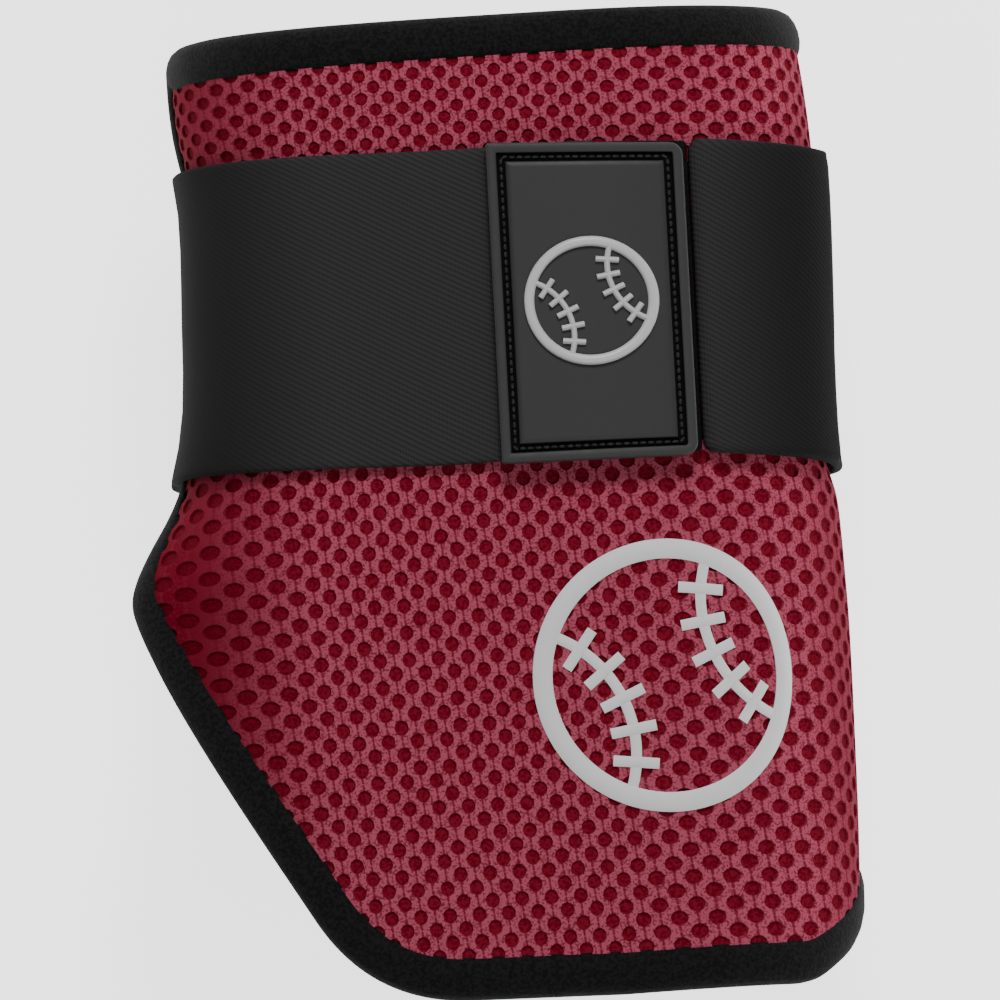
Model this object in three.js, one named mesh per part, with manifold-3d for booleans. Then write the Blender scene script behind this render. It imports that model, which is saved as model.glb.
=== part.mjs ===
// Elbow guard for a batter: a moulded pad with a bound edge, closed round the arm by one elastic strap.
// Millimetres. +X to the right of the front, +Y towards the upper arm, +Z out of the front.
// The guard lies on the back of its strap and on the right edge of its pad, with its front up.
import * as THREE from "three";
import Module from "manifold-3d";

// Driving dimensions of the pad
const PAD_LENGTH = 158; // from the lower edge to the upper-arm edge, along Y
const PAD_THICKNESS = 8;
const CROWN_HEIGHT = 80; // the front above the surface that the guard lies on
const CROWN_OFFSET = 6; // the crown line, to the right of the middle
const LEFT_HALF_WIDTH = 52; // from the crown line to the left side, under the strap
const RIGHT_HALF_WIDTH = 49.4;
const SIDE_DEPTH = 41.6; // from the crown down to where the side stands upright
const SECTION_POWER = 2.8; // of the front: 2 is an ellipse, more is flatter with tighter sides
const WRAP_POWER = 2.2; // of the part that wraps round behind the side
const RIGHT_WRAP = 150; // degrees round from the crown to the right edge

// Driving dimensions of the binding, the strap and the tab
const CLEARANCE = 0.3; // between pieces that touch
const BINDING_THICKNESS = 1;
const BINDING_WIDTH = 7;
const BINDING_RISE = 0.4; // how far the folded cloth puffs out between its edges
const EDGE_RAMP = 2.2; // from the bound edge of the pad to its full thickness
const STRAP_WIDTH = 50.8;
const STRAP_THICKNESS = 1.8;
const STRAP_DOUBLED = 3.2; // the folded and sewn end on the right
const STRAP_MIDDLE = 31.9; // along Y, at the crown line
const STRAP_SLANT = -0.033; // rise along Y for each millimetre across
const STRAP_BOW = 1.5; // how far the strap bows towards +Y beside the tab
const BOW_X = 30; // where it bows most
const BOW_HALF = 42; // how far from there the bow has died out
const STRAP_BACK_HALF = 24; // half of the flat back, where the strap lies on the surface
const STRAP_LEAVES = 124; // degrees round the right side, where the strap leaves the pad
const STRAP_PULL = 20; // how far the turns to the back run on straight, off the pad
const STRAP_TUG = 16; // and from the flat back
const FOLD_CORNER = 2;
const FOLD_LENGTH = 30; // doubled this far from the folded edge
const TAB_WIDTH = 30.6;
const TAB_HEIGHT = 51.2;
const TAB_ALONG = 32.1; // its middle along Y
const TAB_SLANT = 0.65; // the upper corner on the left is higher by this, and that on the right lower
const TAB_THICKNESS = 2.3;
const TAB_LEFT_EDGE = -3.5; // from the crown line
const TAB_CORNER = 2; // on the right; the corners sewn down on the left are square
const TAB_RIM = 1.6;
const GROOVE_WIDTH = 1.4;
const GROOVE_CORNER = 1;
const GROOVE_DEPTH = 0.9;
const TAB_GAP = 1.7; // between the tab and the folded end of the strap
const LANDING_UNDER_TAB = 13;
const LANDING_WIDTH = 50.2;
const LANDING_THICKNESS = 1.4;
const SEAM_GAP = 0.5; // between the strap's own end and the landing tape

// Driving dimensions of the ball badge, raised on the tab and printed on the pad
const BADGE_RADIUS = 10.4;
const BADGE_LINE = 1.6;
const BADGE_HEIGHT = 0.9;
const BADGE_TURN = 24; // degrees that the ball is turned, to the left
const PRINT_RADIUS = 22;
const PRINT_LINE = 3.2;
const PRINT_THICKNESS = 0.4;
const PRINT_ACROSS = 21.6; // its middle, from the crown line
const PRINT_ALONG = -28.5;
const SEAM_RADIUS = 0.92; // of the ball's stitched seams, as a share of the ball's radius
const SEAM_CENTRE = 1.3; // their centres, out from the ball's middle, as a share of its radius
const STITCH_LENGTH = 0.34; // as a share of the ball's radius
const STITCHES = 5; // across each seam
const STITCH_ANGLE = 15; // degrees between them, round the seam

const RIGHT_ANGLE = Math.PI / 2;
const degrees = (angle) => (angle * Math.PI) / 180;

// Sections of the pad. along is a share of PAD_LENGTH from the middle; left, right, depth and crown
// are shares of LEFT_HALF_WIDTH, RIGHT_HALF_WIDTH, SIDE_DEPTH and CROWN_HEIGHT.
const SECTIONS = [
  { along: -0.56, left: 1.36, right: 0.99, depth: 0.9, crown: 0.9 },
  { along: -0.45, left: 1.38, right: 1.02, depth: 0.965, crown: 0.937 },
  { along: -0.34, left: 1.38, right: 1.035, depth: 1.0, crown: 0.968 },
  { along: -0.22, left: 1.38, right: 1.04, depth: 1.012, crown: 0.988 },
  { along: -0.12, left: 1.36, right: 1.04, depth: 1.008, crown: 0.997 },
  { along: -0.07, left: 1.32, right: 1.035, depth: 1.0, crown: 1.0 },
  { along: -0.03, left: 1.22, right: 1.03, depth: 1.0, crown: 1.0 },
  { along: 0.01, left: 1.12, right: 1.02, depth: 1.0, crown: 1.0 },
  { along: 0.05, left: 1.06, right: 0.99, depth: 1.0, crown: 1.0 },
  { along: 0.12, left: 1.01, right: 0.985, depth: 1.0, crown: 1.0 },
  { along: 0.22, left: 0.995, right: 0.995, depth: 1.0, crown: 1.0 },
  { along: 0.34, left: 0.99, right: 1.0, depth: 1.0, crown: 1.0 },
  { along: 0.42, left: 1.03, right: 0.985, depth: 1.0, crown: 0.998 },
  { along: 0.52, left: 1.04, right: 0.945, depth: 1.0, crown: 0.985 },
];

// Corners of the pad's cut outline, laid flat, anticlockwise from the upper left. across is a share of
// the way from the crown line to the upright left side (below 0) or to the wrapped right edge (above 0),
// along is a share of PAD_LENGTH from the middle, and round is the corner's radius.
const OUTLINE = [
  { across: -1.0, along: 0.5, round: 7 },
  { across: -1.0, along: 0.07, round: 40 },
  { across: -0.758, along: -0.08, round: 10 },
  { across: -0.312, along: -0.5, round: 30 },
  { across: 0.1, along: -0.503, round: 40 },
  { across: 0.39, along: -0.497, round: 20 },
  { across: 0.6, along: -0.432, round: 25 },
  { across: 1.0, along: -0.33, round: 22 },
  { across: 1.0, along: -0.04, round: 40 },
  { across: 0.89, along: 0.09, round: 40 },
  { across: 0.89, along: 0.511, round: 14 },
];

// The value of one named column of SECTIONS at a share of the length, on a smooth curve.
function sectionValue(column, along) {
  const last = SECTIONS.length - 1;
  let i = 0;
  while (i < last - 1 && along > SECTIONS[i + 1].along) i += 1;
  const at = (k) => SECTIONS[Math.min(last, Math.max(0, k))];
  const span = at(i + 1).along - at(i).along;
  const t = THREE.MathUtils.clamp((along - at(i).along) / span, 0, 1);
  const slope = (k) =>
    ((at(k + 1)[column] - at(k - 1)[column]) / (at(k + 1).along - at(k - 1).along)) * span;
  const [v0, v1, m0, m1] = [at(i)[column], at(i + 1)[column], slope(i), slope(i + 1)];
  const t2 = t * t;
  const t3 = t2 * t;
  return (2 * t3 - 3 * t2 + 1) * v0 + (t3 - 2 * t2 + t) * m0 + (3 * t2 - 2 * t3) * v1 + (t3 - t2) * m1;
}

const power = (value, exponent) => Math.sign(value) * Math.abs(value) ** exponent;
const SECTION_STEPS = 240;
const sectionCache = new Map();

// One side of the pad's outer line at y, as points spaced along it: { x, z, run } from the crown line out.
function sectionSide(y, side) {
  const key = side + ":" + y.toFixed(4);
  if (sectionCache.has(key)) return sectionCache.get(key);
  const along = y / PAD_LENGTH;
  const width =
    side < 0
      ? LEFT_HALF_WIDTH * sectionValue("left", along)
      : RIGHT_HALF_WIDTH * sectionValue("right", along);
  const depth = SIDE_DEPTH * sectionValue("depth", along);
  const crown = CROWN_HEIGHT * sectionValue("crown", along);
  const points = [];
  let run = 0;
  for (let i = 0; i <= SECTION_STEPS; i += 1) {
    const angle = degrees(170) * (i / SECTION_STEPS) ** 1.5;
    const squareness = 2 / (angle < RIGHT_ANGLE ? SECTION_POWER : WRAP_POWER);
    const x = width * power(Math.sin(angle), squareness);
    const z = crown - depth * (1 - power(Math.cos(angle), squareness));
    const before = points[i - 1];
    if (before) run += Math.hypot(x - before.x, z - before.z);
    points.push({ x, z, run, angle });
  }
  sectionCache.set(key, points);
  return points;
}

// The length along one side of the section at y, from the crown line to an angle round it.
function runToAngle(y, side, angle) {
  const points = sectionSide(y, side);
  const i = points.findIndex((p) => p.angle >= angle);
  const [a, b] = [points[i - 1], points[i]];
  return THREE.MathUtils.mapLinear(angle, a.angle, b.angle, a.run, b.run);
}

// A point on the pad's outer surface: across is the length round from the crown line.
function onSurface(across, y) {
  const side = across < 0 ? -1 : 1;
  const run = Math.abs(across);
  const points = sectionSide(y, side);
  let i = points.findIndex((p) => p.run > run);
  if (i < 1) i = i === 0 ? 1 : points.length - 1;
  const [a, b] = [points[i - 1], points[i]];
  const t = (run - a.run) / (b.run - a.run);
  const x = CROWN_OFFSET + side * (a.x + (b.x - a.x) * t);
  return new THREE.Vector3(x, y, a.z + (b.z - a.z) * t);
}

// The outward direction of the pad's outer surface.
function normalAt(across, y) {
  const step = 1.5;
  const u = onSurface(across + step, y).sub(onSurface(across - step, y));
  const v = onSurface(across, y + step).sub(onSurface(across, y - step));
  return u.cross(v).normalize();
}

// A point at a height above the pad's outer surface.
function place(across, y, height) {
  return onSurface(across, y).addScaledVector(normalAt(across, y), height);
}

// How far round an outline share reaches at y, in millimetres.
function reach(share, y) {
  return share < 0
    ? share * runToAngle(y, -1, RIGHT_ANGLE)
    : share * runToAngle(y, 1, degrees(RIGHT_WRAP));
}

// The pad's outline, laid flat: straight runs joined by rounded corners.
function flatOutline() {
  const corners = OUTLINE.map(({ across, along, round }) => {
    const y = along * PAD_LENGTH;
    return { point: new THREE.Vector2(reach(across, y), y), round };
  });
  const path = new THREE.Path();
  corners.forEach(({ point, round }, i) => {
    const before = corners[(i + corners.length - 1) % corners.length].point;
    const after = corners[(i + 1) % corners.length].point;
    const into = before.clone().sub(point);
    const out = after.clone().sub(point);
    const half = into.angleTo(out) / 2;
    const cut = Math.min(round / Math.tan(half), into.length() * 0.46, out.length() * 0.46);
    const start = point.clone().addScaledVector(into.normalize(), cut);
    const end = point.clone().addScaledVector(out.normalize(), cut);
    if (i) path.lineTo(start.x, start.y);
    else path.moveTo(start.x, start.y);
    path.quadraticCurveTo(point.x, point.y, end.x, end.y);
  });
  path.closePath();
  return path;
}

const outline = flatOutline();
const EDGE_STEPS = 120;
const PAD_RINGS = 7;
const EDGE_BLEND = 4; // neighbours on each side that soften the inward direction
const edgePoints = outline.getSpacedPoints(EDGE_STEPS).slice(0, EDGE_STEPS);

// The inward direction at each outline point. It turns gently round the corners, and is longer there,
// so that lines moved inwards keep their distance from the outline.
const edgeNormal = edgePoints.map((_, i) => {
  const a = edgePoints[(i + EDGE_STEPS - 1) % EDGE_STEPS];
  const b = edgePoints[(i + 1) % EDGE_STEPS];
  const run = b.clone().sub(a).normalize();
  return new THREE.Vector2(-run.y, run.x);
});
const edgeInward = edgeNormal.map((normal, i) => {
  const sum = new THREE.Vector2();
  for (let k = -EDGE_BLEND; k <= EDGE_BLEND; k += 1)
    sum.add(edgeNormal[(i + k + EDGE_STEPS) % EDGE_STEPS]);
  sum.normalize();
  return sum.multiplyScalar(Math.min(1.3, 1 / sum.dot(normal)));
});

// The outline moved inwards by a distance, as flat points.
const insetEdge = (distance) => edgePoints.map((p, i) => p.clone().addScaledVector(edgeInward[i], distance));

// A closed solid from rows of points that each run once round a section, the rows joined in order.
// open rows are capped at both ends, and closed rows join the last row to the first.
function loft(rows, { closed = false } = {}) {
  const around = rows[0].length;
  const positions = rows.flat().flatMap((p) => [p.x, p.y, p.z]);
  const index = [];
  const spans = closed ? rows.length : rows.length - 1;
  for (let r = 0; r < spans; r += 1) {
    const [low, high] = [r * around, ((r + 1) % rows.length) * around];
    for (let k = 0; k < around; k += 1) {
      const next = (k + 1) % around;
      index.push(low + k, low + next, high + next, low + k, high + next, high + k);
    }
  }
  if (!closed)
    for (const [base, turned] of [[0, true], [(rows.length - 1) * around, false]]) {
      // Each end row runs out along one face and back along the other, so it is capped in strips.
      for (let k = 0; k < around / 2 - 1; k += 1) {
        const [a, b, c, d] = [k, k + 1, around - 2 - k, around - 1 - k].map((n) => base + n);
        const faces = [a, b, c, a, c, d];
        index.push(...(turned ? faces.reverse() : faces));
      }
    }
  const geometry = new THREE.BufferGeometry();
  geometry.setAttribute("position", new THREE.Float32BufferAttribute(positions, 3));
  geometry.setIndex(index);
  return geometry;
}

// A soft slab that follows the pad's surface: top and under give the heights of its faces at a flat point,
// rows holds lists of flat points, and each list has as many points as the others.
function slab(rows, top, under) {
  return loft(
    rows.map((row) => [
      ...row.map((p) => place(p.x, p.y, top(p))),
      ...[...row].reverse().map((p) => place(p.x, p.y, under(p))),
    ]),
  );
}

const manifold = await Module();
manifold.setup();

// A manifold solid as a three.js geometry.
function toGeometry(solid) {
  const mesh = solid.getMesh();
  const positions = [];
  for (let i = 0; i < mesh.numVert; i += 1)
    positions.push(...mesh.vertProperties.subarray(i * mesh.numProp, i * mesh.numProp + 3));
  const geometry = new THREE.BufferGeometry();
  geometry.setAttribute("position", new THREE.Float32BufferAttribute(positions, 3));
  geometry.setIndex([...mesh.triVerts]);
  return geometry;
}

// Moves a flat geometry onto the pad's surface: its x and y lie in the flat pattern and z is the height.
function bend(geometry) {
  const position = geometry.attributes.position;
  for (let i = 0; i < position.count; i += 1) {
    const p = place(position.getX(i), position.getY(i), position.getZ(i));
    position.setXYZ(i, p.x, p.y, p.z);
  }
  return geometry;
}

// The pad: full thickness inside, and thinner by the binding and its clearance where that wraps it.
// Its rings follow the outline inwards and then close on the middle.
function padGeometry() {
  const sunk = BINDING_THICKNESS + CLEARANCE;
  const inner = BINDING_WIDTH + CLEARANCE;
  const full = insetEdge(inner + EDGE_RAMP);
  const rings = [
    { points: insetEdge(sunk), sink: sunk },
    { points: insetEdge(inner), sink: sunk },
    { points: full, sink: 0 },
  ];
  for (let i = 1; i <= PAD_RINGS; i += 1) {
    const share = 1 - (i / (PAD_RINGS + 1)) ** 0.9;
    rings.push({ points: full.map((p) => p.clone().multiplyScalar(share)), sink: 0 });
  }
  const around = EDGE_STEPS;
  const positions = [];
  const index = [];
  const put = (p, height) => positions.push(...place(p.x, p.y, height).toArray());
  const quad = (a, b, c, d) => index.push(a, b, c, a, c, d);
  // the outer face, ring by ring, then the inner face
  for (const { points, sink } of rings) points.forEach((p) => put(p, -sink));
  for (const { points, sink } of rings) points.forEach((p) => put(p, sink - PAD_THICKNESS));
  const under = rings.length * around;
  const middle = { outer: 2 * under, inner: 2 * under + 1 };
  put(new THREE.Vector2(), 0);
  put(new THREE.Vector2(), -PAD_THICKNESS);
  for (let k = 0; k < around; k += 1) {
    const next = (k + 1) % around;
    for (let r = 0; r < rings.length - 1; r += 1) {
      const [low, high] = [r * around, (r + 1) * around];
      quad(low + k, low + next, high + next, high + k);
      quad(under + low + next, under + low + k, under + high + k, under + high + next);
    }
    const last = (rings.length - 1) * around;
    index.push(last + k, last + next, middle.outer, under + last + next, under + last + k, middle.inner);
    quad(next, k, under + k, under + next);
  }
  const geometry = new THREE.BufferGeometry();
  geometry.setAttribute("position", new THREE.Float32BufferAttribute(positions, 3));
  geometry.setIndex(index);
  return geometry;
}

// The binding: a strip folded round the pad's edge, as a closed ring of one folded section.
function bindingGeometry() {
  const wall = BINDING_THICKNESS;
  const back = -PAD_THICKNESS;
  // in is the distance in from the outline, and up is the height above the pad's outer surface
  const fold = [
    { in: BINDING_WIDTH, up: 0 },
    { in: BINDING_WIDTH * 0.55, up: BINDING_RISE },
    { in: wall, up: -wall * 0.4 },
    { in: 0, up: back * 0.28 },
    { in: 0, up: back * 0.72 },
    { in: wall, up: back + wall * 0.4 },
    { in: BINDING_WIDTH * 0.55, up: back - BINDING_RISE },
    { in: BINDING_WIDTH, up: back },
    { in: BINDING_WIDTH, up: back + wall },
    { in: wall * 1.25, up: back + wall },
    { in: wall, up: back + wall * 1.5 },
    { in: wall, up: -wall * 1.5 },
    { in: wall * 1.25, up: -wall },
    { in: BINDING_WIDTH, up: -wall },
  ];
  const rows = edgePoints.map((p, i) =>
    fold.map((f) => {
      const flat = p.clone().addScaledVector(edgeInward[i], f.in);
      return place(flat.x, flat.y, f.up);
    }),
  );
  return loft(rows, { closed: true });
}

// The strap's layers over the pad, as lengths round from the crown line.
const tabRight = TAB_LEFT_EDGE + TAB_WIDTH;
const foldEdge = tabRight + TAB_GAP; // the folded end of the strap
const landingLeft = tabRight - LANDING_UNDER_TAB;
const strapEnd = landingLeft - SEAM_GAP; // the plain end, under the tab

// The middle of the strap along Y, at a distance across: the loop lies in a slanted plane, a little bowed.
function strapMiddle(x) {
  const bow = Math.max(0, 1 - ((x - BOW_X) / BOW_HALF) ** 2) ** 2;
  return STRAP_MIDDLE + STRAP_SLANT * (x - CROWN_OFFSET) + STRAP_BOW * bow;
}

// One lengthwise line of the strap, from the plain end under the tab round the left side, across the
// flat back and up the right side to the folded end: points with their outward directions, on the
// strap's inner face. lane is the distance from the strap's middle.
function strapLine(lane) {
  const cornerShare = Math.max(0, Math.abs(lane) - STRAP_WIDTH / 2 + FOLD_CORNER) / FOLD_CORNER;
  const fold = foldEdge + FOLD_CORNER * (1 - Math.sqrt(1 - cornerShare ** 2 * 0.96));
  // it rises a little towards the sides, to pass over the binding
  const seat = (across) => {
    const y = strapMiddle(onSurface(across, STRAP_MIDDLE).x) + lane;
    const rise = BINDING_RISE * THREE.MathUtils.smoothstep(Math.abs(across), foldEdge, LEFT_HALF_WIDTH);
    return { at: place(across, y, CLEARANCE + rise), out: normalAt(across, y) };
  };
  const left = seat(-runToAngle(STRAP_MIDDLE + lane, -1, RIGHT_ANGLE));
  const rightRun = runToAngle(STRAP_MIDDLE + lane, 1, degrees(STRAP_LEAVES));
  const right = seat(rightRun);
  // the inner face of the back lies one thickness above the surface
  const back = (x) => new THREE.Vector3(CROWN_OFFSET + x, 0, STRAP_THICKNESS);
  const turn = (from, pull, to, tug) => {
    const flat = from.at.clone().setY(0);
    const along = new THREE.Vector3(from.out.z, 0, -from.out.x).normalize();
    const end = back(to);
    const curve = new THREE.CubicBezierCurve3(
      flat,
      flat.clone().addScaledVector(along, pull),
      end.clone().add(new THREE.Vector3(tug, 0, 0)),
      end,
    );
    return (t) => {
      const at = curve.getPoint(t);
      const run = curve.getTangent(t).multiplyScalar(Math.sign(pull));
      at.y = strapMiddle(at.x) + lane;
      return { at, out: new THREE.Vector3(-run.z, 0, run.x) };
    };
  };
  const leftTurn = turn(left, -STRAP_PULL, -STRAP_BACK_HALF, -STRAP_TUG);
  const rightTurn = turn(right, STRAP_PULL / 2, STRAP_BACK_HALF, STRAP_TUG);
  const path = [];
  const [over, round] = [18, 9]; // steps over each side of the pad, and in each turn to the back
  for (let i = 0; i < over; i += 1)
    path.push(seat(THREE.MathUtils.lerp(strapEnd, -runToAngle(STRAP_MIDDLE + lane, -1, RIGHT_ANGLE), i / over)));
  for (let i = 0; i <= round; i += 1) path.push(leftTurn(i / round));
  for (let i = round; i > 0; i -= 1) path.push(rightTurn(i / round));
  path.forEach((p) => {
    p.thick = STRAP_THICKNESS;
  });
  for (let i = 0; i <= over; i += 1) {
    const across = THREE.MathUtils.lerp(rightRun, fold, i / over);
    const single = THREE.MathUtils.smoothstep(across - foldEdge, FOLD_LENGTH, FOLD_LENGTH + 3);
    path.push({ ...seat(across), thick: THREE.MathUtils.lerp(STRAP_DOUBLED, STRAP_THICKNESS, single) });
  }
  return path;
}

// The strap, one band with both of its ends on the front.
function strapGeometry() {
  const lanes = [-0.5, -0.47, 0, 0.47, 0.5].map((share) => strapLine(share * STRAP_WIDTH));
  return loft(
    lanes[0].map((_, i) => [
      ...lanes.map((line) => line[i].at.clone().addScaledVector(line[i].out, line[i].thick)),
      ...[...lanes].reverse().map((line) => line[i].at.clone()),
    ]),
  );
}

// The tape that the tab grips: a flat strip on the pad between the strap's two ends.
function landingGeometry() {
  const right = foldEdge - CLEARANCE;
  const rows = [-0.5, -0.25, 0, 0.25, 0.5].map((share) =>
    [0, 0.25, 0.5, 0.75, 1].map((t) => {
      const across = THREE.MathUtils.lerp(landingLeft, right, t);
      return new THREE.Vector2(across, strapMiddle(onSurface(across, STRAP_MIDDLE).x) + share * LANDING_WIDTH);
    }),
  );
  return slab(rows, () => CLEARANCE + LANDING_THICKNESS, () => CLEARANCE);
}

// A rounded rectangle about its middle.
function roundedPlate(width, height, radius) {
  const core = manifold.CrossSection.square([width - 2 * radius, height - 2 * radius], true);
  return core.offset(radius, "Round", 2, 16);
}

// The moulded tab, sewn on the strap's end: a plate with a stitched groove inside its rim.
function tabGeometry() {
  const square = manifold.CrossSection.square([TAB_WIDTH / 2, TAB_HEIGHT]);
  const plate = roundedPlate(TAB_WIDTH, TAB_HEIGHT, TAB_CORNER).add(
    square.translate([-TAB_WIDTH / 2, -TAB_HEIGHT / 2]),
  );
  const outside = TAB_RIM + GROOVE_WIDTH;
  const shell = plate.extrude(TAB_THICKNESS);
  const channel = roundedPlate(TAB_WIDTH - 2 * TAB_RIM, TAB_HEIGHT - 2 * TAB_RIM, GROOVE_CORNER)
    .subtract(roundedPlate(TAB_WIDTH - 2 * outside, TAB_HEIGHT - 2 * outside, GROOVE_CORNER))
    .extrude(TAB_THICKNESS)
    .translate([0, 0, TAB_THICKNESS - GROOVE_DEPTH]);
  const seat = 2 * CLEARANCE + STRAP_THICKNESS;
  const geometry = toGeometry(shell.subtract(channel).refineToLength(8));
  const position = geometry.attributes.position;
  for (let i = 0; i < position.count; i += 1) {
    const [x, y] = [position.getX(i), position.getY(i)];
    position.setY(i, y - ((TAB_SLANT * x) / (TAB_WIDTH / 2)) * (0.5 + y / TAB_HEIGHT));
  }
  return bend(geometry.translate(TAB_LEFT_EDGE + TAB_WIDTH / 2, TAB_ALONG, seat));
}

// The ball badge, laid flat about its middle: a ring with two curved seams that are crossed by stitches.
function ballOutline(radius, line) {
  const { CrossSection } = manifold;
  const round = (r) => CrossSection.circle(r, 40);
  const seamLine = line * 0.55;
  const centre = radius * SEAM_CENTRE;
  const arc = radius * SEAM_RADIUS;
  let seams = round(arc + seamLine / 2).subtract(round(arc - seamLine / 2));
  for (let i = 0; i < STITCHES; i += 1) {
    const stitch = CrossSection.square([radius * STITCH_LENGTH, seamLine], true)
      .translate([-arc, 0])
      .rotate((i - (STITCHES - 1) / 2) * STITCH_ANGLE);
    seams = seams.add(stitch);
  }
  seams = seams.translate([centre, 0]);
  return round(radius)
    .subtract(round(radius - line))
    .add(seams.add(seams.mirror([1, 0])).intersect(round(radius - line / 2)))
    .rotate(BADGE_TURN);
}

// A ball badge of even thickness on the pad's surface, its foot at a height above it.
function badgeGeometry(outlineFlat, across, y, foot, thickness, step) {
  const solid = outlineFlat.extrude(thickness).refineToLength(step).translate([across, y, foot]);
  return bend(toGeometry(solid));
}

// A plain material in one of the guard's finishes.
const finish = (color, roughness) =>
  new THREE.MeshStandardMaterial({ color, roughness, metalness: 0 });
const MESH_RED = finish(0x8a2f45, 0.85);
const BINDING_BLACK = finish(0x161616, 0.9);
const ELASTIC_BLACK = finish(0x242424, 0.85);
const RUBBER_GREY = finish(0x3c3c3e, 0.6);
const BADGE_SILVER = finish(0xc9c9c9, 0.45);
const PRINT_WHITE = finish(0xdedede, 0.6);

const guard = new THREE.Group();

function addPiece(name, geometry, material) {
  const mesh = new THREE.Mesh(geometry, material);
  mesh.name = name;
  guard.add(mesh);
}

addPiece("pad_shell", padGeometry(), MESH_RED);
addPiece("edge_binding", bindingGeometry(), BINDING_BLACK);
addPiece("strap_band", strapGeometry(), ELASTIC_BLACK);
addPiece("hook_landing", landingGeometry(), ELASTIC_BLACK);
addPiece("pull_tab", tabGeometry(), RUBBER_GREY);

const tabTop = 3 * CLEARANCE + STRAP_THICKNESS + TAB_THICKNESS;
addPiece(
  "tab_emblem",
  badgeGeometry(
    ballOutline(BADGE_RADIUS, BADGE_LINE),
    TAB_LEFT_EDGE + TAB_WIDTH / 2,
    TAB_ALONG,
    tabTop,
    BADGE_HEIGHT,
    5,
  ),
  BADGE_SILVER,
);
addPiece(
  "front_print",
  badgeGeometry(
    ballOutline(PRINT_RADIUS, PRINT_LINE),
    PRINT_ACROSS,
    PRINT_ALONG,
    CLEARANCE,
    PRINT_THICKNESS,
    5,
  ),
  PRINT_WHITE,
);

export default guard;
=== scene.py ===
"""Elbow guard for a batter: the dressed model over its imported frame.

The pad's front is a curved surface. Every piece is first shaped flat, in millimetres across and along
the pad with its height above the front, and is then laid on that surface.
"""

import logging
import math
from dataclasses import dataclass, field
from enum import Enum
from typing import NamedTuple, Sequence

import bmesh
import bpy
import numpy as np
from mathutils import Matrix, Vector

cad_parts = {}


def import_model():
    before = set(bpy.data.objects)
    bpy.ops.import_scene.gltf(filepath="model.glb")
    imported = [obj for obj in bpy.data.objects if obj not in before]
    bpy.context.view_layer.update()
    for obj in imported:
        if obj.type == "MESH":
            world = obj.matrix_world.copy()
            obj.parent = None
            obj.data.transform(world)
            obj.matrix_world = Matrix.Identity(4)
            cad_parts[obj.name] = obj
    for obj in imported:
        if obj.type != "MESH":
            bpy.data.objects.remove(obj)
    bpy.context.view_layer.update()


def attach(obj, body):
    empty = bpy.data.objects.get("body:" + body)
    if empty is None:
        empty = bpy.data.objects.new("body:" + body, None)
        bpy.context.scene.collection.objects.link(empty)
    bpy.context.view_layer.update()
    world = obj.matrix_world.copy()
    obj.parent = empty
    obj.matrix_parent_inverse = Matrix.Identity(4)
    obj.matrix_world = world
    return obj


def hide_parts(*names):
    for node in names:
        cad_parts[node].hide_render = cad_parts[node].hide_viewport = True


MM = 0.001
RIGHT_ANGLE = math.pi / 2
Span = tuple[float, float]
Colour = tuple[float, float, float, float]
log = logging.getLogger("elbow_guard")


class Section(NamedTuple):
    """One section of the pad: shares of the pad's length, widths, depth and crown height."""

    along: float
    left: float
    right: float
    depth: float
    crown: float


class Corner(NamedTuple):
    """One corner of the pad's flat outline, with the radius it is rounded to."""

    across: float
    along: float
    round: float


SECTIONS = (
    Section(-0.56, 1.36, 0.99, 0.9, 0.9),
    Section(-0.45, 1.38, 1.02, 0.965, 0.937),
    Section(-0.34, 1.38, 1.035, 1.0, 0.968),
    Section(-0.22, 1.38, 1.04, 1.012, 0.988),
    Section(-0.12, 1.36, 1.04, 1.008, 0.997),
    Section(-0.07, 1.32, 1.035, 1.0, 1.0),
    Section(-0.03, 1.22, 1.03, 1.0, 1.0),
    Section(0.01, 1.12, 1.02, 1.0, 1.0),
    Section(0.05, 1.06, 0.99, 1.0, 1.0),
    Section(0.12, 1.01, 0.985, 1.0, 1.0),
    Section(0.22, 0.995, 0.995, 1.0, 1.0),
    Section(0.34, 0.99, 1.0, 1.0, 1.0),
    Section(0.42, 1.03, 0.985, 1.0, 0.998),
    Section(0.52, 1.04, 0.945, 1.0, 0.985),
)

OUTLINE = (
    Corner(-1.0, 0.5, 7),
    Corner(-1.0, 0.07, 40),
    Corner(-0.758, -0.08, 10),
    Corner(-0.312, -0.5, 30),
    Corner(0.1, -0.503, 40),
    Corner(0.39, -0.497, 20),
    Corner(0.6, -0.432, 25),
    Corner(1.0, -0.33, 22),
    Corner(1.0, -0.04, 40),
    Corner(0.89, 0.09, 40),
    Corner(0.89, 0.511, 14),
)


def smooth_step(value: np.ndarray, low: float, high: float) -> np.ndarray:
    """The share of the way from low to high, eased at both ends."""
    t = np.clip((value - low) / (high - low), 0, 1)
    return t * t * (3 - 2 * t)


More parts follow.
